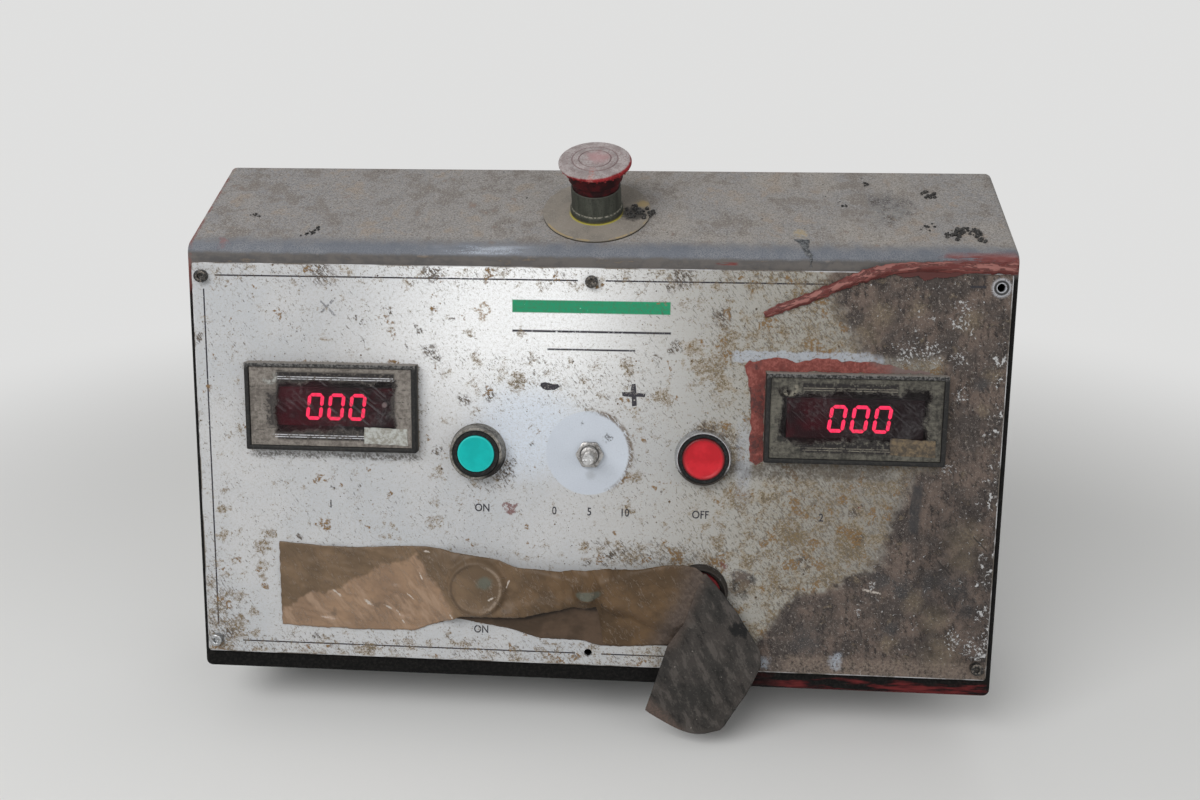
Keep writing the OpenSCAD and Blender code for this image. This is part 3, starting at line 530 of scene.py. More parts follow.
# A painted shadow under the right meter
painted_meter_shadow = (y - 4 + patchy * 8 - 4).within(7, 2) * (x - 130 + blotch * 20).within(56, 44)
colour.lay(painted_meter_shadow * fine.blend(patchy).step(0.36, 0.52) * 0.7, (0.075, 0.066, 0.058))
o_ring = (crooked.stretch(1, 0.8, 1).far(-61.2, 72) - 2.9).within(1.5, 0.4) * fine.step(0.4, 0.52)
colour.lay(o_ring * 0.8, (0.23, 0.15, 0.075))
red_marks = (blots([(-47, -20, 2.4), (-44.5, -22.5, 2.6), (-42, -20, 1.6), (77, -52, 2.2), (152, -16, 1.6)],
                   0.3) * hatch.step(0.4, 0.5))
colour.lay(red_marks * 0.8, (0.13, 0.035, 0.03))
clean_band = ((y - 67.5 + patchy * 5 - 2.5 + fine * 2 - 1).within(3.6, 2.4)
              * (x - 122 + patchy * 6).within(42, 39))
clean_band = clean_band.either((y - 20 + patchy * 20).within(34, 10) * (x - 86).within(6, 2) * 0.5)
colour.lay(clean_band * fine.step(0.66, 0.52) * 0.75, (0.36, 0.39, 0.44))

# Grime that has eaten the print on the right, up to a ragged edge, with white chips of the coat in it
wobble = blotch * 22 + patchy * 14 + fine * 5 - 20.5
upper = (x * 0.9 + y * 0.5 - 168.5 + wobble).step(-7, 6) * (y + wobble * 0.4).step(64, 72)
side = (x + wobble * 0.6).step(187, 194)
lower = (x - y * 0.33 - 178 + wobble).step(-6, 5) * y.step(12, 2)
wedge = (x * 0.8 - y * 0.615 - 137 + wobble * 0.5).both(x * 0.39 - y - 115 + wobble * 0.7).step(-2.5, 2.5)
grime = upper.either(side).either(lower).either(wedge)
tone = blotch.step(0.4, 0.6).mix((0.125, 0.094, 0.078), (0.056, 0.046, 0.042))
tone.lay((strokes * 0.5 + patchy * 0.5 + (hatch - 0.5) * 0.5).step(0.46, 0.62), (0.028, 0.023, 0.022))
pale = ((flat.drawn_out(-1.2, 3, 0.7).grain(0.35, 4.0, 0.75) * 0.6 + fine * 0.4).step(0.55, 0.63)
        * blotch.step(0.42, 0.54))
tone.lay(pale * 0.8, (0.22, 0.19, 0.165))
yellow = blots([(210, -32, 9), (209, -44, 7), (171, -96, 4), (196, -80, 7), (183, -70, 5), (205, 88, 5),
                (176, 95, 4), (157, 92, 6), (150, 80, 6), (200, -100, 9), (218, 60, 4), (215, 40, 3)], 0.8)
tone.lay(yellow.either(patchy.step(0.58, 0.68)) * fine.blend(hatch).step(0.36, 0.54) * 0.75,
         fine.step(0.4, 0.6).mix((0.135, 0.11, 0.08), (0.18, 0.14, 0.096)))
inky = blots([(200, -58, 6), (208, -62, 7), (192, -56, 5), (172, -86, 4), (176, -62, 6), (165, -58, 5),
              (125, -95, 8), (212, -74, 5), (190, -62, 4), (214, 54, 4)], 0.7)
tone.lay(inky * fine.blend(patchy).step(0.34, 0.52) * 0.8, (0.04, 0.04, 0.042))
tone.lay(fine.blend(grit).step(0.55, 0.62), (0.22, 0.2, 0.18))
tone.lay(grit.blend(fine).step(0.42, 0.36), (0.03, 0.027, 0.026))
tone.lay(x.step(178, 190) * y.step(0, -20) * patchy.blend(fine).step(0.44, 0.56) * 0.5, (0.022, 0.018, 0.017))
colour.lay(grime * (0.86 + fine * 0.25), tone)
chip_zone = blots([(201.6, 96, 5), (199, 88, 4), (176.3, 92, 2), (176, 84, 2), (172, 70, 8), (186, 71, 7),
                   (200, 67, 4), (202, 48, 3), (198, 6, 4), (160, -62.5, 3), (218, -95, 7), (206, -92, 5)],
                  0.6)
edge_zone = ((x + (patchy - 0.5) * 30).step(214, 223) * y.step(96, 70)
             * blotch.blend(patchy, 0.4).step(0.4, 0.54))
flakes = crooked.drawn_out(1.5, 2, 1).grain(0.3, 3.0, 0.7)
curled = flakes * 0.8 + fine * 0.2 + edge_zone * 0.09 - 0.035
chips = (fine * 0.6 + hatch * 0.4 + chip_zone * 0.085).either(curled).step(0.6, 0.635) * x.step(120, 160)
colour.lay(chips, (0.42, 0.42, 0.42))
colour.lay((edge_zone * fine.blend(patchy).step(0.5, 0.42)) * 0.85, (0.022, 0.022, 0.022))
scratch = (x * 0.2 + y + 31.9 + fine).within(0.9, 0.4) * (x - 160).within(5.5, 4.5) * fine.step(0.4, 0.5)
colour.lay(scratch, (0.4, 0.36, 0.32))
for turned_x, turned_y in ((199, -49), (218, -35)):
    cut = ((x - turned_x) + (y - turned_y)).within(0.9, 0.3) * (x - turned_x).within(4.6, 3.6)
    colour.lay(cut * 0.8, (0.025, 0.022, 0.02))
smear = ((x - 181.8 - (y + 11) * 0.05 + patchy * 6 - 3 + fine * 3 - 1.5).within(4, 2)
         * (y + 11.5 + patchy * 8).within(17, 11))
by_stop = (crooked.far(87, -60) * 0.14).step(1.1, 0.7) * fine.blend(hatch, 0.4).step(0.36, 0.5)
colour.lay(by_stop * 0.85, patchy.step(0.42, 0.58).mix((0.035, 0.032, 0.032), (0.1, 0.08, 0.07)))
colour.lay(smear * 0.72, (0.04, 0.04, 0.042))
smudge = (flat.stretch(1, 1.5, 1).far(86, -97) + patchy * 12).step(17, 10)
colour.lay(smudge * fine.blend(hatch).step(0.36, 0.52) * 0.9,
           patchy.step(0.42, 0.58).mix((0.04, 0.036, 0.033), (0.13, 0.1, 0.07)))
cross = ((x - y + 238.2 + fine * 3).within(1.5, 0.5)).either((x + y + 57 + fine * 3).within(1.3, 0.5))
cross = cross * flat.far(-147.5, 90.8).step(6.4, 5.4) * hatch.step(0.42, 0.5)
colour.lay(cross * 0.7, (0.1, 0.1, 0.11))
lost_screw = flat.far(screw_x, screw_y)
colour.lay((lost_screw + fine * 4).step(8.2, 5.6) * fine.blend(grit, 0.4).step(0.4, 0.48), (0.46, 0.47, 0.5))
colour.lay((lost_screw - 3.4).within(1.1, 0.3), (0.04, 0.04, 0.04))
dash = bar(203.5, 212, 106.7, 108, 0.3)
colour.lay(dash * 0.9, (0.03, 0.03, 0.035))
bare = (x.size() - 225.4).either(y.size() - 113.9).step(0, 0.25)
low_edge = (y * -1 + patchy * 5).step(105, 109) * x.step(100, 120)
colour.lay(low_edge * fine.step(0.4, 0.56) * 0.6, (0.2, 0.16, 0.13))
colour.lay(blots([(142, -107, 4), (101, -108, 4)], 0.6) * fine.step(0.4, 0.5) * 0.8, (0.3, 0.33, 0.37))
colour.lay(bare, blotch.step(0.4, 0.6).mix((0.5, 0.5, 0.51), (0.16, 0.14, 0.12)))
dirt = stain.either(flecks).either(grime).either(scuffs).either(mottled)
finish(mm, colour, 0.45 + dirt * 0.4, fine * 0.4 + dirt * 0.5 + grime * blotch * 2.0 + rust * 0.6
       + chips * 0.5, 0.14, others={"Metallic": bare * 0.8})
dress(printed, "front_plate")


# Printed words on the plate: plain ON, OFF and numbers in black ink, a hair thick.
# They stand under each control. Two signs beside the knob are drawn by hand with a broad pen.
black_ink = simple("black_ink", (0.9, 4.0, 0.7), (0.56, 0.66), ((0.035, 0.033, 0.04), (0.3, 0.28, 0.26)), 0.6,
                   0)
labels = (("1", -149.6, -23), ("ON", -61.3, -22.6), ("0", -20, -23.1), ("5", 0, -23.1), ("10", 20, -23.1),
          ("OFF", 62.8, -23), ("2", 130, -22.6), ("ON", -62.3, -96.3 + 1))
points, faces = [], []
for word, x_mm, y_mm in labels:
    letters = bpy.data.curves.new("label", "FONT")
    letters.body = word
    letters.size = 6.4
    letters.align_x = "CENTER"
    letters.align_y = "CENTER"
    letters.offset = 0.1
    letters.extrude = 0.03
    letters.resolution_u = 4
    drawn = bpy.data.objects.new("label", letters)
    flat_word = bpy.data.meshes.new_from_object(drawn)
    first = len(points)
    points += [on_plate(x_mm + v.co.x * 0.86, y_mm + v.co.y, 0.03 + v.co.z) for v in flat_word.vertices]
    faces += [[first + i for i in polygon.vertices] for polygon in flat_word.polygons]
    bpy.data.objects.remove(drawn)
    bpy.data.curves.remove(letters)
    bpy.data.meshes.remove(flat_word)
piece("printed_labels", points, faces, black_ink, sharp=30)


def slab(outline, low, high, put=on_plate):
    """Points and faces of a flat solid with this outline, between two heights."""
    count = len(outline)
    made = [put(px, py, z) for z in (low, high) for px, py in outline]
    sides = [[i, (i + 1) % count, (i + 1) % count + count, i + count] for i in range(count)]
    return made, [list(range(count))[::-1], [i + count for i in range(count)]] + sides


pen_signs = {
    "pen_minus": [(-28, 50.2), (-25.5, 50.8), (-21, 49.6), (-18.4, 49.9), (-17.3, 48.3), (-20, 46.6), (-24.5, 46.2),
                  (-26.8, 47), (-28.2, 48.6)],
    "pen_plus": [(17.4, 46.2), (22.3, 46.1), (22.8, 50.6), (25, 51), (25.6, 46), (30.6, 45.4), (30.4, 43.6), (25.6, 43.7),
                 (25.9, 38.6), (23.2, 38.2), (23, 43.4), (17.8, 43.9)],
}
for name, outline in pen_signs.items():
    piece(name, *slab(outline, 0.01, 0.06), black_ink, sharp=30)


# Plate screws: M4 socket heads that run into the housing's land, black with grease.
# The one at the bottom left is a newer plated screw. Two more have been lost.
def skin(loops, ring=False):
    """Points and faces over loops of one count, capped at both ends or closed back on the first."""
    count, total = len(loops[0]), len(loops)
    faces = []
    for j in range(total if ring else total - 1):
        a, b = j * count, (j + 1) % total * count
        faces += [(a + i, a + (i + 1) % count, b + (i + 1) % count, b + i) for i in range(count)]
    if not ring:
        faces += [range(count)[::-1], range((total - 1) * count, total * count)]
    return [point for loop in loops for point in loop], faces


def turned(rings, put, count=48, ring=False):
    """A turned part. Each ring is a radius and a height, then the number of flats and their chamfer if any."""
    loops = []
    for radius, height, *flats in rings:
        loop = []
        for i in range(count):
            turn = math.tau * (i + 0.5) / count
            reach = radius
            if flats:
                sector = math.tau / flats[0]
                reach = radius / math.cos(turn % sector - sector / 2)
            drop = (reach - radius) * flats[1] if len(flats) > 1 else 0
            loop.append(put(reach * math.cos(turn), reach * math.sin(turn), height - drop))
        loops.append(loop)
    return skin(loops, ring)


def plain(x, y, z):
    return Vector((x, y, z)) / 1000


black_steel = simple("greasy_black_steel", (0.9, 4.0, 0.7), (0.45, 0.65),
                     ((0.03, 0.03, 0.03), (0.16, 0.14, 0.12)), 0.25, 0.15, 0.4, 0.6)
plated_steel = simple("plated_steel", (0.8, 4.0, 0.7), (0.5, 0.68), ((0.4, 0.41, 0.42), (0.12, 0.1, 0.08)),
                      0.15, 0.1, 0.4, 0.9)

screw_rings = [(2, -12), (2, 0), (3.5, 0), (3.5, 3.4), (3.38, 3.8), (3.05, 4), (1.95, 4), (1.55, 3.75, 6),
               (1.5, 1.9, 6), (0.4, 1.6)]
head = piece("screw_pattern", *turned(screw_rings, plain), black_steel, sharp=35)
screw_tree, given = open_tree("screws_in_plate", [("Screw", "Object", None), ("Seat", "Vector", (0, 0, 0)),
                                                  ("Tilt", "Vector", (0, 0, 0)), ("Seed", "Int", 2)])
shape = branch(screw_tree, "GeometryNodeObjectInfo", {}, {"Object": given["Screw"]})
spin = branch(screw_tree, "FunctionNodeRandomValue", {"data_type": "FLOAT_VECTOR"},
              {"Min": (-0.03, -0.03, 0.0), "Max": (0.03, 0.03, 6.28), "Seed": given["Seed"]})
set_in = branch(screw_tree, "GeometryNodeInstanceOnPoints", {},
                {"Points": given["Geometry"], "Instance": shape.outputs["Geometry"],
                 "Rotation": spin.outputs[0]})
leant = branch(screw_tree, "GeometryNodeTransform", {},
               {"Geometry": set_in.outputs[0], "Translation": given["Seat"], "Rotation": given["Tilt"]})
close_tree(screw_tree, leant.outputs[0], black_steel)
screw_places = {
    "plate_screws": ([(-screw_x, screw_y), (0, screw_y), (screw_x, -screw_y)], 3,
                     ("plate_screw_top_left", "plate_screw_top_centre", "plate_screw_bottom_right")),
    "plated_screw": ([(-screw_x, -screw_y)], 5, ("plate_screw_bottom_left",)),
}
for name, (places, seed, stands_for) in screw_places.items():
    mesh = bpy.data.meshes.new(name)
    mesh.from_pydata([plain(px, py, plate_t) for px, py in places], [], [])
    screws = bpy.data.objects.new(name, mesh)
    bpy.context.scene.collection.objects.link(screws)
    grown(screws, screw_tree, {"Screw": head, "Seat": plate_seat / 1000, "Tilt": Vector((tilt, 0, 0)),
                               "Seed": seed})
    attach(screws, "box")
    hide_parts(*stands_for)
screws.data.materials[0] = plated_steel
bpy.data.objects.remove(head)


# Digital meters: black plastic bezels with a scratched lens, over red digits that stand on the case.
# Dust has baked on the lens and only the middle has been wiped, so that the digits can be read.
def rounded(half_x, half_y, radius, z, put, middle=(0, 0), steps=4):
    """A loop round a rectangle with round corners."""
    loop = []
    for k, (sx, sy) in enumerate(((1, 1), (-1, 1), (-1, -1), (1, -1))):
        for i in range(steps + 1):
            turn = math.pi / 2 * (k + i / steps)
            loop.append(put(middle[0] + sx * (half_x - radius) + radius * math.cos(turn),
                            middle[1] + sy * (half_y - radius) + radius * math.sin(turn), z))
    return loop


noise.seed_set(7)


def ragged(outline, gap, depth, seed):
    """An outline cut into short lengths, each point moved by noise."""
    cut = []
    for (ax, ay), (bx, by) in zip(outline, outline[1:] + outline[:1]):
        parts = max(1, round(math.hypot(bx - ax, by - ay) / gap))
        for i in range(parts):
            px, py = ax + (bx - ax) * i / parts, ay + (by - ay) * i / parts
            push = noise.noise_vector(Vector((px * 0.35, py * 0.35, seed)))
            cut.append((px + push.x * depth, py + push.y * depth))
    return cut


bezel_rings = [(49, 25, 0.8, 0), (49, 25, 0.8, 6.3), (48.75, 24.75, 0.8, 6.8), (48.2, 24.2, 0.7, 7),
               (47.1, 23.1, 0.6, 7), (46.6, 22.6, 0.5, 6.8), (46.4, 22.4, 0.4, 6.2), (46.4, 22.4, 0.4, 3.8),
               (44.4, 20.4, 0.4, 3.8), (44.4, 20.4, 0.4, 0)]
bezel_plastic, mm = begin("baked_bezel_plastic")
face = mm.seen_from(plate_seat, tilt)
x, y, z = face.part(0), face.part(1), face.part(2)
fine = mm.grain(0.7, 4.0, 0.75)
colour = fine.step(0.45, 0.75).mix((0.012, 0.012, 0.012), (0.042, 0.039, 0.035))
topside = (y + fine * 0.6).step(59.1, 59.7)
colour.lay(topside, fine.step(0.35, 0.6).mix((0.14, 0.125, 0.11), (0.24, 0.22, 0.2)))
# A painted highlight along the upper edge of the front rim
shine = (z + fine * 0.5).step(8.75, 9.1) * (y + fine).step(56, 59) * fine.step(0.44, 0.58)
colour.lay(shine * 0.8, (0.16, 0.155, 0.15))
colour.lay((z * -1 + fine * 4).step(-3.2, -1.4) * (1 - topside), (0.10, 0.085, 0.07))
finish(mm, colour, fine * 0.3 + 0.42, fine, 0.15)

glowing, mm = begin("glowing_digits")
glow = mm.grain(0.9, 2.0).step(0.25, 0.5).mix((1.0, 0.012, 0.06), (1.0, 0.035, 0.11))
finish(mm, (0.2, 0.0, 0.01), 0.5, others={"Emission Color": glow, "Emission Strength": 1.9})
dark_red, mm = begin("dark_red_filter")
colour = mm.grain(0.06, 3.0).step(0.4, 0.62).mix((0.02, 0.006, 0.008), (0.075, 0.004, 0.01))
finish(mm, mm.part(0).step(110, 150).mix(colour, (0.016, 0.007, 0.009)), 0.35)
dull_black = simple("dull_black_plastic", (0.4, 4.0), (0.4, 0.7),
                    ((0.012, 0.012, 0.012), (0.04, 0.037, 0.033)), 0.55, 0.1)
paper, mm = begin("old_paper_label")
fine = mm.grain(0.35, 4.0, 0.7)
colour = fine.step(0.4, 0.62).mix((0.4, 0.41, 0.39), (0.24, 0.23, 0.2))
colour.lay(mm.part(0).step(0, 40), fine.step(0.35, 0.62).mix((0.16, 0.12, 0.075), (0.06, 0.05, 0.04)))
finish(mm, colour, 0.7, fine, 0.1)

# The wiped window's middle and half sizes, the lines over and under it, the curl of dirt, the dust's colours
meters = {
    "speed_meter": (-146.5, (2.7, 0.3), (33.8, 14.6), (-30.5, 36.5), (-34, 36.5), (-34.5, 17),
                    (0.23, 0.208, 0.185), (0.105, 0.092, 0.081),
                    [(-127.5, 14.2), (-102.6, 13.8), (-102.8, 23.1), (-127.2, 23.5)]),
    "load_meter": (145.5, (-1.2, 1.2), (39.5, 14.2), (-29, 22), (-32, 20), (-36, 16.5),
                   (0.035, 0.033, 0.029), (0.125, 0.118, 0.097),
                   [(164.5, 15.4), (189, 14.6), (188.7, 23.8), (164.7, 24.8)]),
}
for name, (cx, middle, half, over, under, curl, dust_a, dust_b, label) in meters.items():
    lens, mm = begin(name + "_dusty_lens")
    face = mm.seen_from(plate_seat, tilt)
    u, v = face.part(0) - cx, face.part(1) - meter_y
    flat = face.node("CombineXYZ", {}, {0: u, 1: v})
    cloudy, fine = flat.grain(0.05, 4.0), flat.grain(0.5, 4.0, 0.7)
    lines = flat.stretch(0.2, 3, 1).grain(0.4, 3.0)
    edge = ((u - middle[0]).size() - half[0]).either((v - middle[1]).size() - half[1])
    window = (edge + cloudy * 14 - 7 + fine * 5 - 2.5).step(1.6, -1.8)
    glass = cloudy.step(0.4, 0.66).mix((0.012, 0.008, 0.009), (0.035, 0.03, 0.031))
    red_zone = flat.far(-13 if cx < 0 else -16, -2).step(26, 8) * (0.8 if cx < 0 else 0.3)
    glass.lay(red_zone, (0.06, 0.006, 0.012))
    dust = cloudy.blend(fine).step(0.4, 0.6).mix(dust_a, dust_b)
    dust.lay(lines.step(0.55, 0.7) * fine.step(0.42, 0.56), (0.05, 0.045, 0.04))
    scores = flat.drawn_out(-0.7, 9, 0.35).grain(0.3, 2.0, 0.6).step(0.6, 0.66) * (0.55 if cx < 0 else 0.3)
    haze = (fine.blend(cloudy, 0.45).step(0.47, 0.7) * 0.4).either(scores).either(0.06 if cx < 0 else 0)
    colour = window.mix(dust, haze.mix(glass, (0.15, 0.14, 0.145)))
    over_half = (over[1] - over[0]) / 2
    black_band = ((v - 0.5).size() - 19.2).step(1, -0.6)
    black_band = black_band * ((u - (over[0] + over[1]) / 2).size() - over_half).step(1.2, -0.4)
    colour.lay(black_band * (1 - window) * fine.step(0.66, 0.5), (0.02, 0.018, 0.018))
    smear = (((u + 32.5).size() + fine * 20 - 10).step(5.5, 2.5)
             * ((v + 1).size() + cloudy * 20 - 10 + fine * 16 - 8).step(12, 8))
    colour.lay(smear * (1 - window) * (0.9 if cx < 0 else 0.7), (0.024, 0.021, 0.021))
    silver = 0
    for (start, end), heights in ((over, (15.8, 17)), (under, (-16.2, -17.4))):
        line = ((u - (start + end) / 2).size() * -1 + (end - start) / 2).step(0, 0.4)
        for high in heights:
            silver = silver + (v - high).within(0.34, 0.16) * line
    silver = silver * fine.step(0.62, 0.46) * (1 if cx < 0 else cloudy.blend(fine, 0.6).step(0.44, 0.5))
    colour.lay(silver, (0.5, 0.5, 0.52) if cx < 0 else (0.21, 0.19, 0.155))
    crust = ((flat.far(*curl) - 3.6 + fine * 5 - 2.5).within(1.6, 0.3) * (u * 0.6 - v + 40).step(0, 3)
             * fine.step(0.38, 0.5))
    colour.lay(crust, (0.3, 0.3, 0.28) if cx < 0 else (0.2, 0.185, 0.15))
    spot = flat.far(31, 2).step(2, 1) if cx < 0 else flat.far(-40.5, -11.5).step(2.4, 1.2)
    colour.lay(spot * 0.8, (0.16, 0.12, 0.12) if cx < 0 else (0.01, 0.01, 0.01))
    clear = window * (1 - silver) * (1 - crust) * (1 - spot)
    finish(mm, colour, 0.75 - window * 0.5, fine * (1 - window * 0.8) + crust * 2, 0.12,
           others={"Alpha": 1 - clear * (0.82 - haze)})
    dress(lens, name + "_lens")
    dress(glowing, name + "_digits")
    dress(dark_red, name + "_display")
    dress(dull_black, name + "_case")
    piece(name + "_frame", *skin([rounded(*sizes, on_plate, (cx, meter_y)) for sizes in bezel_rings], True),
          bezel_plastic, sharp=40, slot="bezel_plastic", stands_for=(name + "_bezel",))
    piece(name + "_label", *slab(ragged(label, 1.5, 0.5, cx), 5.8, 5.98), paper, sharp=40)


# Red paint left round the right meter, where an old coat was masked off and later pulled away.
# It stands on the plate as a thin crust with a torn edge.
red_paint, mm = begin("old_red_paint")
face = mm.seen_from(plate_seat, tilt)
fine, cloudy = mm.grain(0.5, 5.0, 0.75), mm.grain(0.09, 4.0)
colour = fine.step(0.4, 0.64).mix((0.15, 0.038, 0.032), (0.27, 0.085, 0.07))
colour.lay(cloudy.step(0.5, 0.62) * fine.step(0.4, 0.55), (0.075, 0.03, 0.028))
faded = (face.part(0) + cloudy * 50).step(165, 205)
colour.lay(faded, (0.17, 0.125, 0.115))
finish(mm, colour, 0.6, fine * 2 + cloudy, 0.2)
crust = [(96.6, 8.5), (93, 6.2), (89.6, 8.6), (89, 18), (89.2, 30), (88.4, 46), (87, 56), (84.6, 62.8),
         (87.5, 65.4), (93, 64.6), (98, 66.4), (106, 67), (113, 65.2), (122, 66.2), (131, 67.2), (140, 65.6),
         (150, 66), (160, 64.9), (171, 62.4), (185, 60.6), (186, 59.6), (96.6, 59.6)]
piece("red_paint_crust", *slab(ragged(crust, 1.2, 1.1, 3.7), 0.02, 0.4), red_paint, sharp=40,
      slot="red_paint_skin")


# Push buttons: 22 mm barrels through the plate, held by a nut behind it. The start button has a dull
# bezel and a green cap, the stop button a bright bezel and a dished red cap. The caps spring back.
def at(cx, cy, put=on_plate):
    return lambda px, py, z: put(cx + px, cy + py, z)


dull_metal, mm = begin("dull_button_metal")
face = mm.seen_from(plate_seat, tilt)
fine, cloudy = mm.grain(0.7, 4.0, 0.7), mm.grain(0.12, 3.0)
colour = fine.blend(cloudy, 0.4).step(0.4, 0.62).mix((0.3, 0.285, 0.26), (0.085, 0.078, 0.066))
oil = (face.flat().far(-51, -1) + cloudy * 10 + fine * 3).step(18, 12)
colour.lay(oil, (0.012, 0.01, 0.009))
finish(mm, colour, fine * 0.3 + 0.25, fine, 0.08, others={"Metallic": 0.8 - oil * 0.6})
chrome, mm = begin("bright_button_metal")
fine, cloudy = mm.grain(0.8, 4.0, 0.7), mm.grain(0.1, 3.0)
# Under marks the lower side of each bezel, which is drawn darker and duller as a painted shade, over real dirt in
# patches all round
under = (mm.seen_from(plate_seat, tilt).part(1) + cloudy * 8 + fine * 5).step(16, 5)
dirt = (fine * 0.6 + cloudy * 0.4 + under * 0.25).step(0.5, 0.68)
finish(mm, dirt.mix((0.6, 0.61, 0.63), (0.035, 0.03, 0.026)), dirt * 0.45 + 0.12, fine, 0.04,
       others={"Metallic": 1 - dirt * 0.8})
ring_black = simple("black_ring_plastic", (0.8, 4.0), (0.45, 0.75),
                    ((0.006, 0.007, 0.007), (0.03, 0.03, 0.03)), 0.4, 0.05)
green_cap, mm = begin("green_cap_plastic")
face = mm.seen_from(plate_seat, tilt)
fine, cloudy = mm.grain(0.9, 4.0, 0.7), mm.grain(0.09, 3.0)
flat = face.flat()
colour = cloudy.step(0.4, 0.62).mix((0.002, 0.35, 0.33), (0.003, 0.41, 0.385))
colour.lay(flat.far(-button_x, upper_row).step(8.8, 10.2), (0.015, 0.45, 0.42))
colour.lay(fine.step(0.64, 0.72), (0.04, 0.17, 0.15))
finish(mm, colour, 0.34, fine, 0.03)
red_cap, mm = begin("red_cap_plastic")
face = mm.seen_from(plate_seat, tilt)
fine, cloudy = mm.grain(0.9, 4.0, 0.7), mm.grain(0.09, 3.0)
colour = cloudy.step(0.4, 0.62).mix((0.42, 0.012, 0.02), (0.52, 0.018, 0.028))
rim = face.flat().far(button_x, upper_row)
colour.lay((rim + fine).step(10.4, 12), (0.13, 0.012, 0.014))
colour.lay(fine.step(0.63, 0.72), (0.2, 0.03, 0.03))
finish(mm, colour, 0.34, fine, 0.03)

start_bezel = [(8.1, -16), (11, -16), (11, 0), (16, 0), (16, 0.9), (15.7, 1.3), (15, 7.6), (14.8, 8.2),
               (14.4, 8.5), (13.6, 8.5), (13.3, 8.2), (13.3, 1), (8.1, 1)]
stop_bezel = [(8.1, -16), (11, -16), (11, 0), (16, 0), (16, 1), (15.7, 1.5), (15.3, 5.2), (15.1, 6),
              (14.7, 6.5), (14.3, 6.5), (14, 6.2), (14, 1), (8.1, 1)]
start_ring = [(10.5, 1), (13.2, 1), (13.2, 7.7), (12.9, 8.1), (10.8, 8.1), (10.5, 7.8)]
stop_ring = [(11.8, 1), (13.9, 1), (13.9, 5.8), (13.7, 6.1), (12, 6.1), (11.8, 5.9)]
start_cap = [(8, -14), (8, 4.3), (10.4, 4.3), (10.4, 7.7), (10.25, 8.15), (9.8, 8.4), (9.2, 8.42), (4, 8.3),
             (1, 8.28)]
stop_cap = [(8, -14), (8, 4.9), (11.7, 4.9), (11.7, 7), (11.55, 7.45), (11.1, 7.7), (10.5, 7.65), (9.9, 7.3),
            (9.1, 7.05), (5, 6.95), (1, 6.92)]
start_at, stop_at, low_stop_at = (-button_x, upper_row), (button_x, upper_row), (button_x, lower_row)
for name, rings, place, material, body, slot, around in (
        ("start_button_bezel", start_bezel, start_at, dull_metal, "box", "dull_bezel_metal", True),
        ("start_button_ring", start_ring, start_at, ring_black, "box", "black_plastic", True),
        ("start_button_cap", start_cap, start_at, green_cap, "start_cap", "green_plastic", False),
        ("stop_button_bezel", stop_bezel, stop_at, chrome, "box", "bright_bezel_metal", True),
        ("stop_button_ring", stop_ring, stop_at, ring_black, "box", "black_plastic", True),
        ("stop_button_cap", stop_cap, stop_at, red_cap, "stop_cap", "red_plastic", False),
        ("lower_stop_bezel", stop_bezel, low_stop_at, chrome, "box", "bright_bezel_metal", True)):
    piece(name + "_turned", *turned(rings, at(*place), 64, around), material, body, 32, slot, (name,))
dress(red_cap, "lower_stop_cap")
dress(green_cap, "lower_start_cap")
dress(dull_metal, "lower_start_bezel", "button_locknuts")


# Potentiometers: a can behind the plate, and a threaded bushing that a hexagon nut holds from the front.
# The knobs are gone, so that the bare shafts stick out. Only the upper one is free to turn.
worn_nickel, mm = begin("worn_nickel")
fine, cloudy = mm.grain(1.1, 4.0, 0.7), mm.grain(0.2, 3.0)
colour = fine.blend(cloudy, 0.4).step(0.42, 0.62).mix((0.42, 0.41, 0.4), (0.13, 0.12, 0.11))
finish(mm, colour, fine * 0.35 + 0.18, fine, 0.08, others={"Metallic": 0.85})
shaft_metal = simple("shaft_aluminium", (0.9, 4.0, 0.7), (0.5, 0.7), ((0.6, 0.6, 0.6), (0.2, 0.19, 0.18)),
                     0.12, 0.05, 0.3, 0.9)
nut_rings = [(5.2, 0), (7, 0, 6, -0.5), (7, 3, 6, 0.55), (6.75, 3.02), (5.5, 3), (5.2, 2.8)]
thread = [(5.0 if k % 2 else 4.62, 0.4 + 0.375 * k) for k in range(14)]
bushing = [(2.6, -12), (12, -12), (12, -2), (4.9, -2)] + thread + [(4.8, 5.85), (4.5, 6), (2.7, 6), (2.6, 5.9)]
piece("pot_nut_hexagon", *turned(nut_rings, at(0, upper_row), 48, True), worn_nickel, sharp=30,
      slot="nickel_metal", stands_for=("pot_nut",))
piece("pot_bushing_thread", *turned(bushing, at(0, upper_row), 48, True), worn_nickel, sharp=30,
      slot="nickel_metal", stands_for=("pot_body",))
dress(shaft_metal, "pot_shaft", "lower_pot_shaft")
dress(worn_nickel, "lower_pot_body", "lower_pot_nut")


# Stop mushroom: a red turned head on a metal collar, with a yellow label disc clamped under it.
# Dust covers the crown and the disc, and thumbs have kept the rim red.
stop_y = 37
disc_card, mm = begin("dusty_yellow_disc")
top = mm.seen_from(front_corner, rise)
flat = top.flat()
fine, cloudy, grit = mm.grain(0.6, 4.0, 0.75), mm.grain(0.08, 4.0), mm.grain(1.7, 2.0, 0.7)
reach = flat.far(0, stop_y)
colour = cloudy.step(0.38, 0.62).mix((0.205, 0.185, 0.16), (0.25, 0.222, 0.19))
colour.lay(fine.blend(grit).step(0.5, 0.62), (0.29, 0.265, 0.235))
colour.lay(fine.step(0.6, 0.72), (0.12, 0.105, 0.09))
